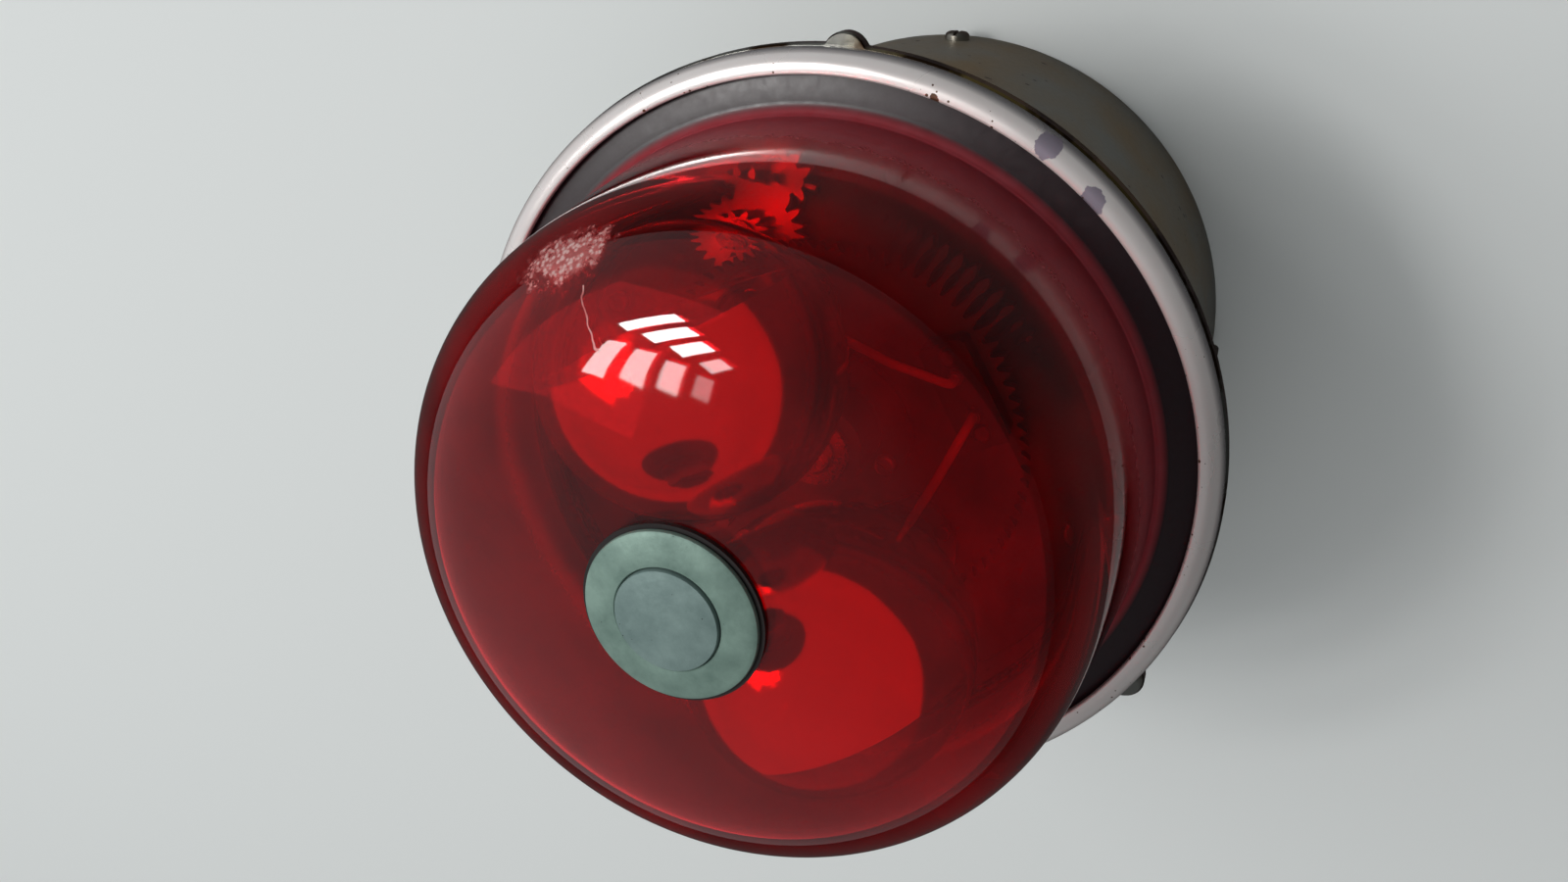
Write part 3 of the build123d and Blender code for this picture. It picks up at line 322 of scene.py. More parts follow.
tint = add(tree, "ShaderNodeMix", {
    "Factor": brown_share.outputs["Result"], "A": srgb("#8b8d87"), "B": srgb("#957f5c"),
}, data_type="RGBA")
speck_reach = add(tree, "ShaderNodeMapRange", {
    "Value": speck_size.outputs["Fac"], "From Min": 0.55, "From Max": 0.75, "To Min": 0.0, "To Max": 0.32,
})
speck_mask = add(tree, "ShaderNodeMath", {
    0: specks.outputs["Distance"], 1: speck_reach.outputs["Result"],
}, operation="LESS_THAN")
speckled = add(tree, "ShaderNodeMix", {
    "Factor": speck_mask.outputs["Value"], "A": tint.outputs["Result"], "B": srgb("#2e2a24"),
}, data_type="RGBA")
gloss = add(tree, "ShaderNodeMapRange", {"Value": streaks.outputs["Fac"], "To Min": 0.30, "To Max": 0.46})
grain = add(tree, "ShaderNodeBump", {
    "Height": streaks.outputs["Fac"], "Strength": 0.12, "Distance": 0.0002,
})
surface = add(tree, "ShaderNodeBsdfPrincipled", {
    "Base Color": speckled.outputs["Result"], "Roughness": gloss.outputs["Result"],
    "Normal": grain.outputs["Normal"], "Metallic": 0.3,
})
close_finish(tree, surface.outputs["BSDF"])

housing_r, housing_wall, housing_h = 65.0, 1.6, 87.1
housing_in_r = housing_r - housing_wall
can = rounded([
    (housing_r, 0, 0.5), (housing_r, housing_h, 0), (housing_in_r, housing_h, 0), (housing_in_r, 0, 0.5),
])
housing = turned("housing_can", can, housing_finish)
stand_for(housing, "lamp_base", "housing_finish", "base_housing")


# Mounting flange: a turned brass ring around the can's upper end, with its raised rim under
# the retaining ring, three ears for the ring screws, and six tapped holes on its underside.

# Nickel gone dull, and rubbed through to brown brass on one side: warm and grey broken glints
flange_finish, tree = new_finish("dull nickel worn to brown brass")
place = add(tree, "ShaderNodeTexCoord").outputs["Object"]
stain = add(tree, "ShaderNodeTexNoise", {
    "Vector": place, "Scale": scale_for(13.3), "Detail": 4.0, "Roughness": 0.6,
})
fine = add(tree, "ShaderNodeTexNoise", {"Vector": place, "Scale": scale_for(1.43), "Detail": 2.0})
stain_share = add(tree, "ShaderNodeMapRange", {
    "Value": stain.outputs["Fac"], "From Min": 0.48, "From Max": 0.60,
})
rubbed = add(tree, "ShaderNodeVectorMath", {0: place, 1: mm(40.0, -61.0, 89.0)}, operation="DISTANCE")
bare_share = add(tree, "ShaderNodeMapRange", {
    "Value": rubbed.outputs["Value"], "From Min": 0.036, "From Max": 0.022,
})
plated = add(tree, "ShaderNodeMix", {
    "Factor": bare_share.outputs["Result"], "A": srgb("#85857f"), "B": srgb("#94804f"),
}, data_type="RGBA")
tint = add(tree, "ShaderNodeMix", {
    "Factor": stain_share.outputs["Result"], "A": plated.outputs["Result"], "B": srgb("#3b2c20"),
}, data_type="RGBA")
gloss = add(tree, "ShaderNodeMapRange", {
    "Value": stain.outputs["Fac"], "From Min": 0.4, "From Max": 0.65, "To Min": 0.16, "To Max": 0.38,
})
grain = add(tree, "ShaderNodeBump", {"Height": fine.outputs["Fac"], "Strength": 0.08, "Distance": 0.0002})
surface = add(tree, "ShaderNodeBsdfPrincipled", {
    "Base Color": tint.outputs["Result"], "Roughness": gloss.outputs["Result"],
    "Normal": grain.outputs["Normal"], "Metallic": 1.0,
})
close_finish(tree, surface.outputs["BSDF"])

flange_r, flange_bore_r, seat_z, rim_top, rim_in_r = 73.4, 59.2, 88.9, 90.3, 70.2
ear_r, ear_circle_r, ear_first = 3.9, 71.6, -29.2
hole_r, hole_circle_r, hole_first = 1.7, 68.2, 0.8


def flange_edge(count):
    # Outer edge seen from above: the round rim, standing out over the three ears
    edge = []
    for i in range(count):
        a = 2 * math.pi * i / count
        r = flange_r
        for k in range(3):
            off = a - math.radians(ear_first + 120 * k)
            side = ear_circle_r * math.sin(off)
            if abs(side) < ear_r and math.cos(off) > 0:
                r = max(r, ear_circle_r * math.cos(off) + math.sqrt(ear_r ** 2 - side ** 2))
        edge.append((r, a))
    return edge


work = bmesh.new()
rings = []
edge = flange_edge(720)
rounding = 0.35
for inset, z in (
    (rounding, housing_h), (0.0, housing_h + rounding), (0.0, rim_top - rounding), (rounding, rim_top),
):
    places = [mm((r - inset) * math.cos(a), (r - inset) * math.sin(a), z) for r, a in edge]
    rings.append([work.verts.new(place) for place in places])
for r, z in ((rim_in_r, rim_top), (rim_in_r, seat_z), (flange_bore_r, seat_z), (flange_bore_r, housing_h)):
    rings.append([work.verts.new(mm(r * math.cos(a), r * math.sin(a), z)) for _, a in edge])
for low, high in zip(rings, rings[1:] + rings[:1]):
    for i in range(len(edge)):
        j = (i + 1) % len(edge)
        work.faces.new((low[i], low[j], high[j], high[i]))
bmesh.ops.recalc_face_normals(work, faces=work.faces)
flange_mesh = bpy.data.meshes.new("mounting_flange_rim")
work.to_mesh(flange_mesh)
work.free()
flange = bpy.data.objects.new("mounting_flange_rim", flange_mesh)
scene.collection.objects.link(flange)
flange_mesh.materials.append(flange_finish)
drill_work = bmesh.new()
for k in range(6):
    a = math.radians(hole_first + 60 * k)
    spot = Matrix.Translation(mm(hole_circle_r * math.cos(a), hole_circle_r * math.sin(a), housing_h + 0.9))
    bmesh.ops.create_cone(
        drill_work, cap_ends=True, segments=32, radius1=hole_r * 0.001, radius2=hole_r * 0.001,
        depth=0.004, matrix=spot,
    )
drill_mesh = bpy.data.meshes.new("drills")
drill_work.to_mesh(drill_mesh)
drill_work.free()
drills = bpy.data.objects.new("drills", drill_mesh)
scene.collection.objects.link(drills)
cut = flange.modifiers.new("tapped holes", "BOOLEAN")
cut.object = drills
cut.solver = "EXACT"
settle(flange, 30.0)
bpy.data.objects.remove(drills)
stand_for(flange, "lamp_base", "flange_finish", "mounting_flange")


# Gasket under the glass's foot and the thin strip over it: black rubber, pressed flat.

# Old rubber: almost black and matt, with a faint grey bloom and a coarse skin
rubber, tree = new_finish("perished black rubber")
place = add(tree, "ShaderNodeTexCoord").outputs["Object"]
bloom = add(tree, "ShaderNodeTexNoise", {"Vector": place, "Scale": scale_for(3.85), "Detail": 4.0})
tint = add(tree, "ShaderNodeMix", {
    "Factor": bloom.outputs["Fac"], "A": srgb("#0e0b0c"), "B": srgb("#26201f"),
}, data_type="RGBA")
grain = add(tree, "ShaderNodeBump", {"Height": bloom.outputs["Fac"], "Strength": 0.3, "Distance": 0.0002})
surface = add(tree, "ShaderNodeBsdfPrincipled", {
    "Base Color": tint.outputs["Result"], "Roughness": 0.62, "Normal": grain.outputs["Normal"],
})
close_finish(tree, surface.outputs["BSDF"])

foot_z, foot_r, foot_top, strip_top = 90.1, 69.8, 92.9, 93.5
seat_out_r, seat_in_r, strip_out_r, strip_in_r = 66.2, 59.8, 69.3, 68.9
seat = rounded([
    (seat_out_r, seat_z, 0.3), (seat_out_r, foot_z, 0.3), (seat_in_r, foot_z, 0.3), (seat_in_r, seat_z, 0.3),
])
gasket = turned("glass_seat_gasket", seat, rubber)
stand_for(gasket, "lamp_base", "seal_rubber", "lens_seat_gasket")
strip_points = rounded([
    (strip_out_r, foot_top, 0.1), (strip_out_r, strip_top, 0.1),
    (strip_in_r, strip_top, 0.15), (strip_in_r, foot_top, 0.1),
])
strip = turned("ring_seal_strip", strip_points, rubber)
stand_for(strip, "lamp_base", "seal_rubber", "lens_ring_strip")


# Dome: red lead glass blown in a mould and fire polished, 3.2 mm thick, with a thick flat foot
# that the ring clamps. A rubbed patch near the shoulder trails off in scratches.

# Glass coloured right through: deep and clear, smears that blur it slightly, white scatter where
# it is rubbed, dust with a painted pale reflection on the low wall, and painted shade on the foot
red_glass, tree = new_finish("red blown glass")
place = add(tree, "ShaderNodeTexCoord").outputs["Object"]
rub_squash, rub_ragged = 0.56, 0.013
scratch_y, scratch_half, scratch_wander = 0.0047, 0.00014, 0.0035
scratch_from_x, scratch_from_z = 0.0395, 0.1474
dust_sheen_from, dust_sheen_full, foot_shade_from, foot_shade_full = mm(60.0, 61.2, 62.6, 64.0)
split = add(tree, "ShaderNodeSeparateXYZ", {"Vector": place})
squat = add(tree, "ShaderNodeVectorMath", {0: place, 1: (1.0, rub_squash, 1.0)}, operation="MULTIPLY")
rub_distance = add(tree, "ShaderNodeVectorMath", {
    0: squat.outputs["Vector"], 1: mm(53.0, -3.4 * rub_squash, 143.6),
}, operation="DISTANCE")
ragged = add(tree, "ShaderNodeTexNoise", {
    "Vector": place, "Scale": scale_for(2.38), "Detail": 6.0, "Roughness": 0.75,
})
rub_edge = add(tree, "ShaderNodeMath", {
    0: ragged.outputs["Fac"], 1: rub_ragged, 2: rub_distance.outputs["Value"],
}, operation="MULTIPLY_ADD")
rubbed = add(tree, "ShaderNodeMapRange", {
    "Value": rub_edge.outputs["Value"], "From Min": 0.0112, "From Max": 0.0094,
})
flecks = add(tree, "ShaderNodeTexVoronoi", {"Vector": place, "Scale": scale_for(0.769), "Randomness": 1.0})
fleck_share = add(tree, "ShaderNodeMapRange", {
    "Value": flecks.outputs["Distance"], "From Min": 0.62, "From Max": 0.30, "To Min": 0.45, "To Max": 1.0,
})
rub_mask = add(tree, "ShaderNodeMath", {
    0: rubbed.outputs["Result"], 1: fleck_share.outputs["Result"],
}, operation="MULTIPLY")
wander = add(tree, "ShaderNodeTexNoise", {"Vector": place, "Scale": scale_for(4.76), "Detail": 2.0})
line_y = add(tree, "ShaderNodeMath", {
    0: wander.outputs["Fac"], 1: scratch_wander, 2: split.outputs["Y"],
}, operation="MULTIPLY_ADD")
from_line = add(tree, "ShaderNodeMath", {0: line_y.outputs["Value"], 1: scratch_y}, operation="ADD")
off_line = add(tree, "ShaderNodeMath", {0: from_line.outputs["Value"]}, operation="ABSOLUTE")
on_line = add(tree, "ShaderNodeMath", {
    0: off_line.outputs["Value"], 1: scratch_half,
}, operation="LESS_THAN")
line_start = add(tree, "ShaderNodeMath", {
    0: split.outputs["X"], 1: scratch_from_x,
}, operation="GREATER_THAN")
line_end = add(tree, "ShaderNodeMath", {0: split.outputs["Z"], 1: scratch_from_z}, operation="GREATER_THAN")
line_reach = add(tree, "ShaderNodeMath", {
    0: line_start.outputs["Value"], 1: line_end.outputs["Value"],
}, operation="MULTIPLY")
line_whole = add(tree, "ShaderNodeMath", {
    0: on_line.outputs["Value"], 1: line_reach.outputs["Value"],
}, operation="MULTIPLY")
line_part = add(tree, "ShaderNodeMath", {
    0: line_whole.outputs["Value"], 1: fleck_share.outputs["Result"],
}, operation="MULTIPLY")
worn = add(tree, "ShaderNodeMath", {
    0: line_part.outputs["Value"], 1: rub_mask.outputs["Value"],
}, operation="MAXIMUM")
smears = add(tree, "ShaderNodeTexNoise", {
    "Vector": place, "Scale": scale_for(26.3), "Detail": 5.0, "Distortion": 0.6,
})
smear_gloss = add(tree, "ShaderNodeMapRange", {
    "Value": smears.outputs["Fac"], "From Min": 0.45, "From Max": 0.75, "To Min": 0.012, "To Max": 0.04,
})
murk = add(tree, "ShaderNodeMapRange", {
    "Value": smears.outputs["Fac"], "From Min": 0.38, "From Max": 0.72, "To Min": 0.99, "To Max": 0.92,
})
flat_place = add(tree, "ShaderNodeVectorMath", {0: place, 1: (1.0, 1.0, 0.0)}, operation="MULTIPLY")
out_r = add(tree, "ShaderNodeVectorMath", {
    0: flat_place.outputs["Vector"],
}, operation="LENGTH").outputs["Value"]
# Dust and a painted pale mauve reflection on the low wall, where the glass is rougher and less clear
low_wall = add(tree, "ShaderNodeMapRange", {"Value": out_r, "From Min": dust_sheen_from, "From Max": dust_sheen_full})
dust_sheen_break = add(tree, "ShaderNodeMapRange", {
    "Value": ragged.outputs["Fac"], "From Min": 0.3, "From Max": 0.7, "To Min": 0.38, "To Max": 0.56,
})
dust_and_painted_sheen = add(tree, "ShaderNodeMath", {
    0: low_wall.outputs["Result"], 1: dust_sheen_break.outputs["Result"],
}, operation="MULTIPLY")
# Painted shade: the foot under the ring's lip turns near-black plum
foot_shade = add(tree, "ShaderNodeMapRange", {"Value": out_r, "From Min": foot_shade_from, "From Max": foot_shade_full})
# Red glass, turning mauve where the dust and the painted reflection lie
glass_tint = add(tree, "ShaderNodeMix", {
    "Factor": dust_and_painted_sheen.outputs["Value"], "A": srgb("#ef1e28"), "B": srgb("#8e6a76"),
}, data_type="RGBA")
shaded_foot_tint = add(tree, "ShaderNodeMix", {
    "Factor": foot_shade.outputs["Result"], "A": glass_tint.outputs["Result"], "B": srgb("#2b151c"),
}, data_type="RGBA")
tint = add(tree, "ShaderNodeMix", {
    "Factor": worn.outputs["Value"], "A": shaded_foot_tint.outputs["Result"], "B": srgb("#dcb2ad"),
}, data_type="RGBA")
dust_sheen_gloss = add(tree, "ShaderNodeMath", {
    0: dust_and_painted_sheen.outputs["Value"], 1: 0.7, 2: smear_gloss.outputs["Result"],
}, operation="MULTIPLY_ADD")
gloss = add(tree, "ShaderNodeMix", {
    "Factor": worn.outputs["Value"], "A": dust_sheen_gloss.outputs["Value"], "B": 0.6,
})
dust_sheen_clear = add(tree, "ShaderNodeMath", {0: 1.0, 1: dust_and_painted_sheen.outputs["Value"]}, operation="SUBTRACT")
murky = add(tree, "ShaderNodeMath", {
    0: murk.outputs["Result"], 1: dust_sheen_clear.outputs["Value"],
}, operation="MULTIPLY")
clear = add(tree, "ShaderNodeMix", {"Factor": worn.outputs["Value"], "A": murky.outputs["Value"], "B": 0.3})
grit = add(tree, "ShaderNodeTexNoise", {"Vector": place, "Scale": scale_for(0.667), "Detail": 3.0})
grit_height = add(tree, "ShaderNodeMath", {
    0: grit.outputs["Fac"], 1: worn.outputs["Value"],
}, operation="MULTIPLY")
relief = add(tree, "ShaderNodeBump", {
    "Height": grit_height.outputs["Value"], "Strength": 0.5, "Distance": 0.0003,
})
surface = add(tree, "ShaderNodeBsdfPrincipled", {
    "Base Color": tint.outputs["Result"], "Roughness": gloss.outputs["Result"],
    "Transmission Weight": clear.outputs["Result"], "IOR": 1.52, "Normal": relief.outputs["Normal"],
})
close_finish(tree, surface.outputs["BSDF"])

tip_z, cap_r, corner_r, wall_r, skirt_r, glass = 155.0, 200.0, 21.0, 58.6, 62.2, 3.2
cap_centre = (0.0, tip_z - cap_r)
corner_x = wall_r - corner_r
corner = (corner_x, cap_centre[1] + math.sqrt((cap_r - corner_r) ** 2 - corner_x ** 2))
join_deg = math.degrees(math.atan2(corner[1] - cap_centre[1], corner_x))
gap = math.hypot(skirt_r - corner_x, foot_top - corner[1])
wall_deg = math.degrees(math.atan2(foot_top - corner[1], skirt_r - corner_x) + math.acos(corner_r / gap))
tip_hole_r, shoulder_r = 5.0, 2.4


def eased(points, step, reach):
    # Blown glass has no sudden change of curve, so the headings along the outline are averaged
    # over a reach and laid out again between the same two ends
    legs = [math.dist(a, b) for a, b in zip(points, points[1:])]
    count = round(sum(legs) / step)
    even, leg, walked = [], 0, 0.0
    for i in range(count + 1):
        along = sum(legs) * i / count
        while leg < len(legs) - 1 and along > walked + legs[leg]:
            walked += legs[leg]
            leg += 1
        even.append(Vector(points[leg]).lerp(Vector(points[leg + 1]), (along - walked) / legs[leg]))
    headings = [math.atan2(b.y - a.y, b.x - a.x) for a, b in zip(even, even[1:])]
    half = round(reach / 2 / step)
    before = [2 * headings[0] - h for h in headings[half:0:-1]]
    padded = before + headings + [headings[-1]] * half
    smooth = [sum(padded[i:i + 2 * half + 1]) / (2 * half + 1) for i in range(count)]
    placed = [Vector(points[0])]
    for h in smooth:
        placed.append(placed[-1] + Vector((math.cos(h), math.sin(h))) * sum(legs) / count)
    drift = Vector(points[-1]) - placed[-1]
    return [p + drift * i / count for i, p in enumerate(placed)]


def offset(points, depth):
    # The same outline at a depth behind the face
    normals = []
    for i in range(len(points)):
        run = points[min(i + 1, len(points) - 1)] - points[max(i - 1, 0)]
        normals.append(Vector((run.y, -run.x)).normalized())
    return [p + n * depth for p, n in zip(points, normals)]


face = arc(cap_centre, cap_r, 90.0, join_deg, 60) + arc(corner, corner_r, join_deg, wall_deg, 60)[1:]
face = eased(face + [(skirt_r, foot_top)], 0.5, 12.0)
lean = math.radians(wall_deg)
outer = [tuple(p) for p in face if p.x > tip_hole_r and p.y > foot_top + shoulder_r]
outer.insert(0, (tip_hole_r, cap_centre[1] + math.sqrt(cap_r ** 2 - tip_hole_r ** 2)))
outer.append((skirt_r - shoulder_r * math.tan(lean), foot_top + shoulder_r))
root = (outer[-1][0] + shoulder_r, foot_top + shoulder_r)
shoulder = arc(root, shoulder_r, 180, 270, 8)[1:]
foot = [
    (foot_r - 0.5, foot_top), (foot_r - 0.15, foot_top - 0.15), (foot_r, foot_top - 0.5), (foot_r, foot_z),
]
inner = [tuple(p) for p in offset(face, glass) if p.x > tip_hole_r and p.y > foot_z]
inner.insert(0, (tip_hole_r, cap_centre[1] + math.sqrt((cap_r - glass) ** 2 - tip_hole_r ** 2)))
inner.append((inner[-1][0] + (inner[-1][1] - foot_z) * math.tan(lean), foot_z))
dome = turned("glass_dome", outer + shoulder + foot + inner[::-1], red_glass, facets=360)
stand_for(dome, "lamp_base", "red_glass", "lens_dome")


# Retaining ring: rolled from sheet, nickel plated, with a half-round bead, an upright flank
# and a flat lip over the glass. The plating has peeled in two places and rusted in specks.

# Clouded nickel: whitish, with soft highlights, pits along the inner edge, painted shade on the flank
ring_finish, tree = new_finish("worn nickel plate")
place = add(tree, "ShaderNodeTexCoord").outputs["Object"]
ragged = add(tree, "ShaderNodeTexNoise", {
    "Vector": place, "Scale": scale_for(3.85), "Detail": 4.0, "Roughness": 0.65,
})
spot_z, spot_ragged = 94.4, 0.0034
masks = []
for deg, r, size in ((-59.6, 71.7, 0.0024), (-68.9, 69.8, 0.0020), (-43.7, 68.7, 0.0009)):
    spot = mm(r * math.cos(math.radians(deg)), r * math.sin(math.radians(deg)), spot_z)
    far = add(tree, "ShaderNodeVectorMath", {0: place, 1: spot}, operation="DISTANCE")
    edge_line = add(tree, "ShaderNodeMath", {
        0: ragged.outputs["Fac"], 1: spot_ragged, 2: far.outputs["Value"],
    }, operation="MULTIPLY_ADD")
    mask = add(tree, "ShaderNodeMath", {
        0: edge_line.outputs["Value"], 1: size + spot_ragged / 2,
    }, operation="LESS_THAN")
    masks.append(mask.outputs["Value"])
peeled = add(tree, "ShaderNodeMath", {0: masks[0], 1: masks[1]}, operation="MAXIMUM").outputs["Value"]
flat_place = add(tree, "ShaderNodeVectorMath", {0: place, 1: (1.0, 1.0, 0.0)}, operation="MULTIPLY")
out_r = add(tree, "ShaderNodeVectorMath", {
    0: flat_place.outputs["Vector"],
}, operation="LENGTH").outputs["Value"]
inner_edge = add(tree, "ShaderNodeMapRange", {
    "Value": out_r, "From Min": 0.0704, "From Max": 0.0690, "To Min": 0.0, "To Max": 0.16,
})
# Painted shade: the outward flank of the bead turns grey
flank_shade = add(tree, "ShaderNodeMapRange", {"Value": out_r, "From Min": 0.0722, "From Max": 0.0729})
pits = add(tree, "ShaderNodeTexVoronoi", {"Vector": place, "Scale": scale_for(1.5625)})
pit_share = add(tree, "ShaderNodeTexNoise", {"Vector": place, "Scale": scale_for(11.1), "Detail": 3.0})
pit_reach = add(tree, "ShaderNodeMapRange", {
    "Value": pit_share.outputs["Fac"], "From Min": 0.50, "From Max": 0.8, "To Min": 0.0, "To Max": 0.25,
})
pit_size = add(tree, "ShaderNodeMath", {
    0: pit_share.outputs["Fac"], 1: inner_edge.outputs["Result"], 2: pit_reach.outputs["Result"],
}, operation="MULTIPLY_ADD")
pit_dots = add(tree, "ShaderNodeMath", {
    0: pits.outputs["Distance"], 1: pit_size.outputs["Value"],
}, operation="LESS_THAN")
pit_mask = add(tree, "ShaderNodeMath", {0: pit_dots.outputs["Value"], 1: masks[2]}, operation="MAXIMUM")
haze = add(tree, "ShaderNodeTexNoise", {"Vector": place, "Scale": scale_for(22.2), "Detail": 4.0})
plate_tint = add(tree, "ShaderNodeMix", {
    "Factor": haze.outputs["Fac"], "A": srgb("#f4f0ee"), "B": srgb("#e2dbd8"),
}, data_type="RGBA")
flank_shade_tint = add(tree, "ShaderNodeMix", {
    "Factor": flank_shade.outputs["Result"], "A": plate_tint.outputs["Result"], "B": srgb("#9b9a9c"),
}, data_type="RGBA")
bare_tint = add(tree, "ShaderNodeMix", {
    "Factor": peeled, "A": flank_shade_tint.outputs["Result"], "B": srgb("#8f8794"),
}, data_type="RGBA")
tint = add(tree, "ShaderNodeMix", {
    "Factor": pit_mask.outputs["Value"], "A": bare_tint.outputs["Result"], "B": srgb("#5d4433"),
}, data_type="RGBA")
plate_gloss = add(tree, "ShaderNodeMapRange", {
    "Value": haze.outputs["Fac"], "From Min": 0.35, "From Max": 0.7, "To Min": 0.22, "To Max": 0.36,
})
gloss = add(tree, "ShaderNodeMix", {"Factor": peeled, "A": plate_gloss.outputs["Result"], "B": 0.55})
lift = add(tree, "ShaderNodeMath", {0: 1.0, 1: peeled}, operation="SUBTRACT")
relief = add(tree, "ShaderNodeBump", {"Height": lift.outputs["Value"], "Strength": 0.6, "Distance": 0.0001})
surface = add(tree, "ShaderNodeBsdfPrincipled", {
    "Base Color": tint.outputs["Result"], "Roughness": gloss.outputs["Result"],
    "Normal": relief.outputs["Normal"], "Metallic": 0.5,
})
close_finish(tree, surface.outputs["BSDF"])

ring_r, ring_inner_r, bead_r, ring_wall, lip_top = 73.0, 68.8, 3.1, 1.2, 94.7
bead = (ring_r - bead_r, lip_top - bead_r)
section = [(ring_r, rim_top)]
section += arc(bead, bead_r, 0, 90, 16)
section += arc((ring_inner_r + 0.5, lip_top - 0.5), 0.5, 90, 180, 6)
section += [(ring_inner_r, strip_top), (bead[0], strip_top)]
section += arc(bead, bead_r - ring_wall, 90, 0, 10)[1:]
section += [(ring_r - ring_wall, rim_top)]
ring = turned("glass_retaining_ring", section, ring_finish, facets=360)
stand_for(ring, "lamp_base", "ring_plating", "retaining_ring")


# Tip plug: a spun washer and a flat-headed bolt through the glass on a rubber disc, both gone
# grey-green with patina.
def patina(name, pale, deep):
    # Oxidised plating: chalky blue-green with almost no gloss, mottled and pitted
    finish, tree = new_finish(name)
    place = add(tree, "ShaderNodeTexCoord").outputs["Object"]
    blotches = add(tree, "ShaderNodeTexNoise", {
        "Vector": place, "Scale": scale_for(7.69), "Detail": 5.0, "Roughness": 0.65,
    })
    dots = add(tree, "ShaderNodeTexVoronoi", {"Vector": place, "Scale": scale_for(1.43)})
    dot_share = add(tree, "ShaderNodeMapRange", {
        "Value": blotches.outputs["Fac"], "From Min": 0.5, "From Max": 0.8, "To Min": 0.0, "To Max": 0.25,
    })
    dot_mask = add(tree, "ShaderNodeMath", {
        0: dots.outputs["Distance"], 1: dot_share.outputs["Result"],
    }, operation="LESS_THAN")
    cloud = add(tree, "ShaderNodeMapRange", {
        "Value": blotches.outputs["Fac"], "From Min": 0.35, "From Max": 0.68,
    })
    body = add(tree, "ShaderNodeMix", {
        "Factor": cloud.outputs["Result"], "A": srgb(pale), "B": srgb(deep),
    }, data_type="RGBA")
    tint = add(tree, "ShaderNodeMix", {
        "Factor": dot_mask.outputs["Value"], "A": body.outputs["Result"], "B": srgb("#3c4440"),
    }, data_type="RGBA")
    grit = add(tree, "ShaderNodeTexNoise", {"Vector": place, "Scale": scale_for(0.909), "Detail": 3.0})
    gloss = add(tree, "ShaderNodeMapRange", {"Value": grit.outputs["Fac"], "To Min": 0.42, "To Max": 0.62})
    grain = add(tree, "ShaderNodeBump", {
        "Height": grit.outputs["Fac"], "Strength": 0.25, "Distance": 0.0002,
    })
    surface = add(tree, "ShaderNodeBsdfPrincipled", {
        "Base Color": tint.outputs["Result"], "Roughness": gloss.outputs["Result"],
        "Normal": grain.outputs["Normal"], "Metallic": 0.35,
    })
    close_finish(tree, surface.outputs["BSDF"])
    return finish


washer_finish = patina("verdigris on a nickel washer", "#80998e", "#627a71")
bolt_finish = patina("grey patina on a bolt head", "#7f9490", "#667b78")
plug_z, plug_r, head_r, stud_r, hole_play = 155.3, 14.1, 8.4, 4.0, 0.25
disc_r, disc_bore_r, glass_play = 14.8, 4.25, 0.02
disc_ends = [math.degrees(math.acos(r / cap_r)) for r in (disc_bore_r, disc_r)]
disc_points = arc(cap_centre, cap_r + glass_play, *disc_ends, 10) + [(disc_r, plug_z), (disc_bore_r, plug_z)]
plug_gasket = turned("plug_rubber_disc", disc_points, rubber)
stand_for(plug_gasket, "lamp_base", "seal_rubber", "plug_gasket")
washer_edge, edge_roll, rise, head_seat, groove, groove_z = 1.05, 0.45, 0.75, 0.9, 0.2, 1.62
washer_points = [
    (stud_r + hole_play, plug_z), (plug_r - 0.25, plug_z), (plug_r, plug_z + 0.25), (plug_r, plug_z + 0.6),
]
washer_points += [(plug_r - 0.12, plug_z + 0.88), (plug_r - edge_roll, plug_z + washer_edge)]
for i in range(1, 13):
    t = i / 12
    x = (plug_r - edge_roll) + (head_r + 0.35 - plug_r + edge_roll) * t
    washer_points.append((x, plug_z + washer_edge + rise * math.sin(t * math.pi / 2)))
washer_points += [(head_r + groove, plug_z + groove_z), (head_r + groove, plug_z + head_seat)]
washer_points += [(stud_r + hole_play, plug_z + head_seat)]
plug_washer = turned("plug_spun_washer", washer_points, washer_finish, facets=160)
stand_for(plug_washer, "lamp_base", "plug_metal", "plug_washer")
stud_end, head_crown = 143.9, 0.7
head_z = plug_z + head_seat
head_edge = head_z + 1.4
bolt_points = [(0, head_edge + head_crown)]
bolt_points += [(head_r * t, head_edge + head_crown * (1 - t * t)) for t in [k / 10 for k in range(1, 10)]]
bolt_points += [
    (head_r - 0.12, head_edge), (head_r, head_edge - 0.2), (head_r, head_z), (stud_r, head_z),
    (stud_r, stud_end), (0, stud_end),
]
plug_bolt = turned("plug_flat_bolt", bolt_points, bolt_finish, closed=False, facets=160)
stand_for(plug_bolt, "lamp_base", "plug_metal", "plug_bolt")


# Bulbs: clear globes silvered inside on the half towards the spindle, on brass bayonet caps
# that stand on the carriage. The filament and its two wires keep their solid shape.
lamp_r, lamp_offset, lamp_glass, neck_r = 25.9, 27.5, 0.9, 7.0
lamp_low, lamp_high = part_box("lamp_globes")
lamp_z = lamp_high.z * 1000 - lamp_r
neck_z = lamp_low.z * 1000

# Thin blown glass, of which only the reflections show
clear_glass, tree = new_finish("clear bulb glass")
surface = add(tree, "ShaderNodeBsdfPrincipled", {
    "Base Color": srgb("#f4f7f6"), "Roughness": 0.01, "Transmission Weight": 1.0, "IOR": 1.5,
})
close_finish(tree, surface.outputs["BSDF"])

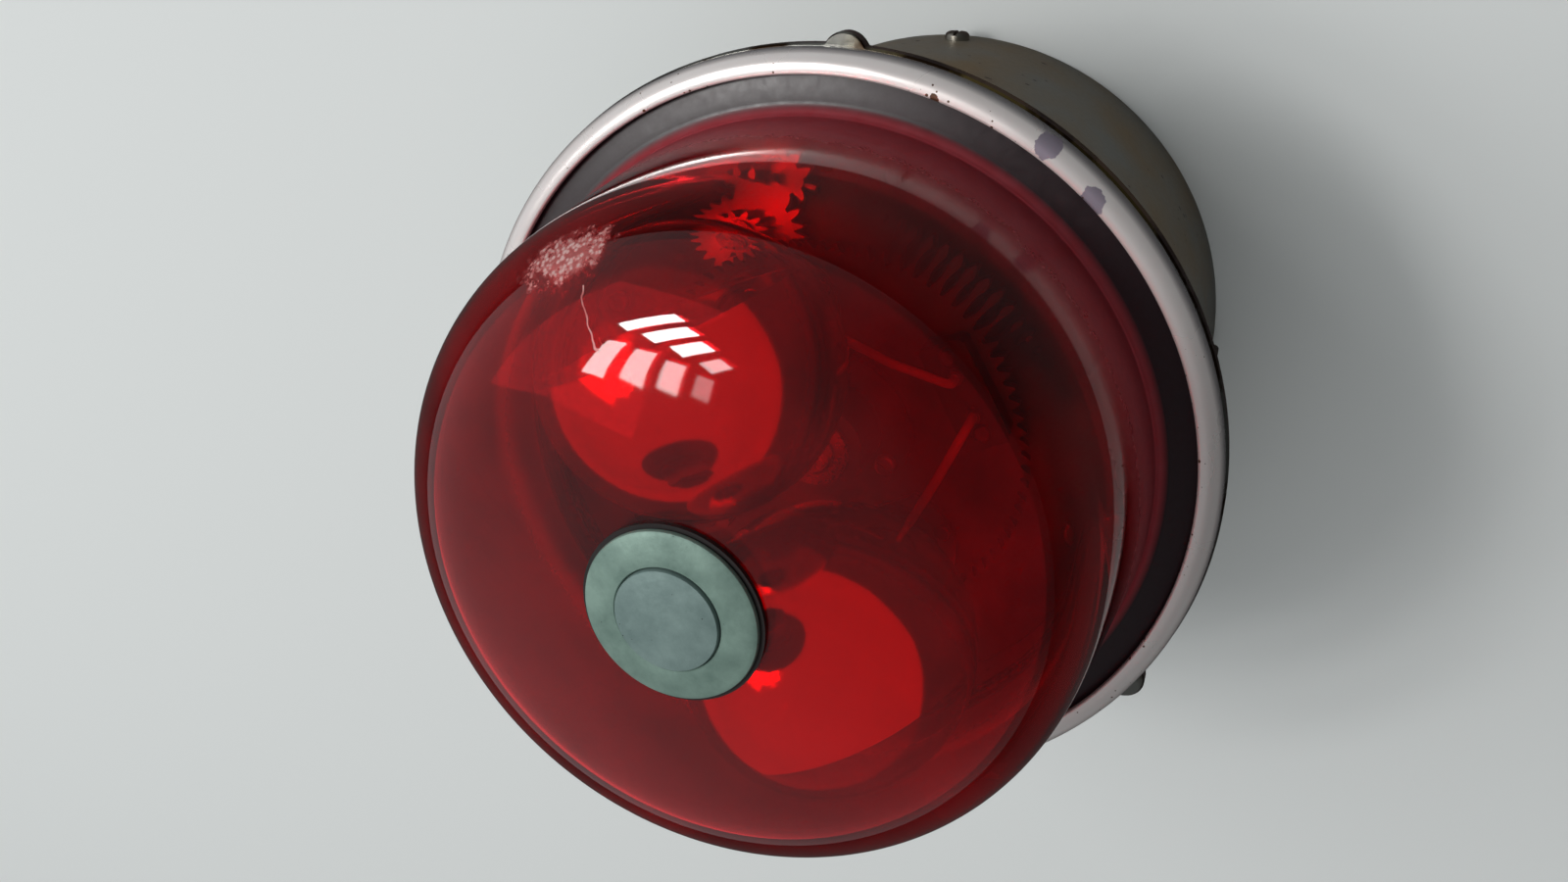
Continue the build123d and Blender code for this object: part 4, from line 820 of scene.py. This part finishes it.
# Silver laid on glass: a mirror with the slight ripple of the glass behind it
silvering, tree = new_finish("silvered mirror coat")
place = add(tree, "ShaderNodeTexCoord").outputs["Object"]
ripple = add(tree, "ShaderNodeTexNoise", {"Vector": place, "Scale": scale_for(18.2), "Detail": 2.0})
grain = add(tree, "ShaderNodeBump", {"Height": ripple.outputs["Fac"], "Strength": 0.25, "Distance": 0.001})
surface = add(tree, "ShaderNodeBsdfPrincipled", {
    "Base Color": srgb("#eceae6"), "Roughness": 0.12, "Normal": grain.outputs["Normal"], "Metallic": 1.0,
})
close_finish(tree, surface.outputs["BSDF"])

# Tree that sets copies of a piece round the spindle, each turned to face outward
setting = bpy.data.node_groups.new("set round a circle", "GeometryNodeTree")
tree_input(setting, "NodeSocketGeometry", "Piece")
count_input = tree_input(setting, "NodeSocketInt", "Count")
circle_input = tree_input(setting, "NodeSocketFloat", "Circle radius")
first_input = tree_input(setting, "NodeSocketFloat", "First angle")
height_input = tree_input(setting, "NodeSocketFloat", "Height")
set_finish_input = tree_input(setting, "NodeSocketMaterial", "Finish")
link_output(setting, "NodeSocketGeometry", "Pieces")
given = add(setting, "NodeGroupInput")
number = add(setting, "GeometryNodeInputIndex")
step = add(setting, "ShaderNodeMath", {0: math.tau, 1: given.outputs["Count"]}, operation="DIVIDE")
angle = add(setting, "ShaderNodeMath", {
    0: number.outputs["Index"], 1: step.outputs["Value"], 2: given.outputs["First angle"],
}, operation="MULTIPLY_ADD")
across = add(setting, "ShaderNodeMath", {0: angle.outputs["Value"]}, operation="COSINE")
along = add(setting, "ShaderNodeMath", {0: angle.outputs["Value"]}, operation="SINE")
x = add(setting, "ShaderNodeMath", {
    0: across.outputs["Value"], 1: given.outputs["Circle radius"],
}, operation="MULTIPLY")
y = add(setting, "ShaderNodeMath", {
    0: along.outputs["Value"], 1: given.outputs["Circle radius"],
}, operation="MULTIPLY")
spot = add(setting, "ShaderNodeCombineXYZ", {
    "X": x.outputs["Value"], "Y": y.outputs["Value"], "Z": given.outputs["Height"],
})
spots = add(setting, "GeometryNodePoints", {
    "Count": given.outputs["Count"], "Position": spot.outputs["Vector"],
})
heading = add(setting, "ShaderNodeCombineXYZ", {"Z": angle.outputs["Value"]})
turned_to = add(setting, "FunctionNodeEulerToRotation", {"Euler": heading.outputs["Vector"]})
copies = add(setting, "GeometryNodeInstanceOnPoints", {
    "Points": spots.outputs["Points"], "Instance": given.outputs["Piece"],
    "Rotation": turned_to.outputs["Rotation"],
})
solid = add(setting, "GeometryNodeRealizeInstances", {"Geometry": copies.outputs["Instances"]})
finished = add(setting, "GeometryNodeSetMaterial", {
    "Geometry": solid.outputs["Geometry"], "Material": given.outputs["Finish"],
})
add(setting, "NodeGroupOutput", {"Pieces": finished.outputs["Geometry"]})


def set_round(obj, finish, count, circle_mm, first_deg, height_mm, sharp_deg=32.0):
    ring_of = obj.modifiers.new("set round", "NODES")
    ring_of.node_group = setting
    ring_of[count_input] = count
    ring_of[circle_input] = circle_mm * 0.001
    ring_of[first_input] = math.radians(first_deg)
    ring_of[height_input] = height_mm * 0.001
    ring_of[set_finish_input] = finish
    return settle(obj, sharp_deg)


def globe_face(r, neck):
    # From the top of a globe round to its neck, about its own middle
    first = -math.degrees(math.acos(neck / r))
    return arc((0, 0), r, 90, first, 60) + [(neck, neck_z - lamp_z)]


outer = globe_face(lamp_r, neck_r)
inner = globe_face(lamp_r - lamp_glass, neck_r - lamp_glass)
outer[0], inner[0] = (0, lamp_r), (0, lamp_r - lamp_glass)
globes = turned("bulb_globes", outer + inner[::-1], clear_glass, closed=False, facets=96)
set_round(globes, clear_glass, 2, lamp_offset, 0.0, lamp_z, 60.0)
stand_for(globes, "carriage", "clear_glass", "lamp_globes")

silver_past, silver_thick = 8.0, 0.3
work = bmesh.new()
bmesh.ops.create_uvsphere(work, u_segments=128, v_segments=96, radius=(lamp_r - lamp_glass - 0.05) * 0.001)
bmesh.ops.bisect_plane(
    work, geom=work.verts[:] + work.edges[:] + work.faces[:], plane_co=mm(silver_past, 0, 0),
    plane_no=(1, 0, 0), clear_outer=True,
)
gone = [
    f
    for f in work.faces if f.calc_center_median().z < 0 and math.hypot(
        *f.calc_center_median()[:2]
    ) < neck_r * 0.001
]
bmesh.ops.delete(work, geom=gone, context="FACES")
bmesh.ops.recalc_face_normals(work, faces=work.faces)
coat_mesh = bpy.data.meshes.new("bulb_silvering")
work.to_mesh(coat_mesh)
work.free()
coat = bpy.data.objects.new("bulb_silvering", coat_mesh)
scene.collection.objects.link(coat)
thicken = coat.modifiers.new("coat", "SOLIDIFY")
thicken.thickness = silver_thick * 0.001
thicken.offset = -1.0
settle(coat, 40.0)
set_round(coat, silvering, 2, lamp_offset, 0.0, lamp_z, 40.0)
stand_for(coat, "carriage", "silvering", "lamp_mirrors")


# Finishes of the pieces that keep their solid shape: plated steel, brass, alloy, mouldings.
def metal(name, code, worn_code, rough, grain_mm, amount, metallic=1.0):
    # Gloss broken by a fine grain, and clouds of darker wear
    finish, tree = new_finish(name)
    place = add(tree, "ShaderNodeTexCoord").outputs["Object"]
    wear = add(tree, "ShaderNodeTexNoise", {"Vector": place, "Scale": scale_for(11.1), "Detail": 4.0})
    fine = add(tree, "ShaderNodeTexNoise", {"Vector": place, "Scale": scale_for(grain_mm), "Detail": 2.0})
    share = add(tree, "ShaderNodeMapRange", {
        "Value": wear.outputs["Fac"], "From Min": 0.42, "From Max": 0.68, "To Max": amount,
    })
    tint = add(tree, "ShaderNodeMix", {
        "Factor": share.outputs["Result"], "A": srgb(code), "B": srgb(worn_code),
    }, data_type="RGBA")
    gloss = add(tree, "ShaderNodeMapRange", {
        "Value": fine.outputs["Fac"], "To Min": rough - 0.06, "To Max": rough + 0.06,
    })
    grain = add(tree, "ShaderNodeBump", {
        "Height": fine.outputs["Fac"], "Strength": 0.15, "Distance": 0.0001,
    })
    surface = add(tree, "ShaderNodeBsdfPrincipled", {
        "Base Color": tint.outputs["Result"], "Roughness": gloss.outputs["Result"],
        "Normal": grain.outputs["Normal"], "Metallic": metallic,
    })
    close_finish(tree, surface.outputs["BSDF"])
    return finish


def dress(finish, *names):
    for name in names:
        slots = nodes[name].data.materials
        slots.clear()
        slots.append(finish)


zinc = metal("dull zinc plate", "#a9a79f", "#7c705c", 0.38, 1.2, 0.8)
brass = metal("satin turned brass", "#c2a566", "#7d6238", 0.32, 0.9, 0.7)
aged_brass = metal("brown aged brass", "#6d5a38", "#3a2d1c", 0.42, 0.9, 0.9)
aged_alloy = metal("dull grey alloy", "#63625f", "#3f3c3a", 0.48, 0.8, 0.8)
copper = metal("drawn copper", "#c4764e", "#7a4632", 0.30, 0.9, 0.6)
steel = metal("ground spring steel", "#8f9092", "#6a6762", 0.28, 0.7, 0.6)
alloy = metal("machined aluminium plate", "#b6b7b6", "#8f8d88", 0.36, 0.8, 0.6)
motor_paint = metal("black stove enamel", "#17171a", "#2a2725", 0.40, 1.5, 0.8, metallic=0.0)
moulding = metal("black phenolic moulding", "#15110f", "#2a211b", 0.46, 1.0, 0.8, metallic=0.0)
graphite = metal("pressed graphite", "#2a2a2c", "#1d1d1f", 0.55, 0.8, 0.5, metallic=0.2)
sleeving = metal("lacquered cotton sleeving", "#b8ab8c", "#8c7f63", 0.7, 0.5, 0.8, metallic=0.0)
iron = metal("pressed core iron", "#5c5855", "#443c36", 0.5, 1.0, 0.8)

dress(zinc, "cover_screws", "ring_screws", "plug_inner_washer", "plug_nut", "chassis_brackets",
      "chassis_screws", "spindle_nut", "motor_end_cap", "connector_shell", "connector_screws", "filter_clamp",
      "hub_screws")
dress(steel, "spindle", "shaft_clips", "idler_pin", "brush_springs", "motor_shaft", "lamp_filaments")
dress(
    brass, "thrust_washer", "motor_posts", "motor_bearings", "connector_pins", "strip_posts",
    "motor_pinion", "idler_gear", "hub_bushes",
)
dress(aged_brass, "carriage_rivets", "lead_posts", "balance_weight", "lamp_holders", "lamp_caps")
dress(alloy, "filter_can")
dress(aged_alloy, "chassis_plate", "carriage_hub", "carriage_gear")
dress(copper, "slip_rings")
dress(motor_paint, "motor_can")
dress(moulding, "brush_block", "connector_insert", "terminal_strip", "lead_block")
dress(graphite, "slip_brushes")
dress(sleeving, "chassis_wiring", "lamp_leads")
dress(iron, "motor_magnets", "motor_armature")
dress(clear_glass, "lamp_stems")
dress(housing_finish, "bottom_cover")
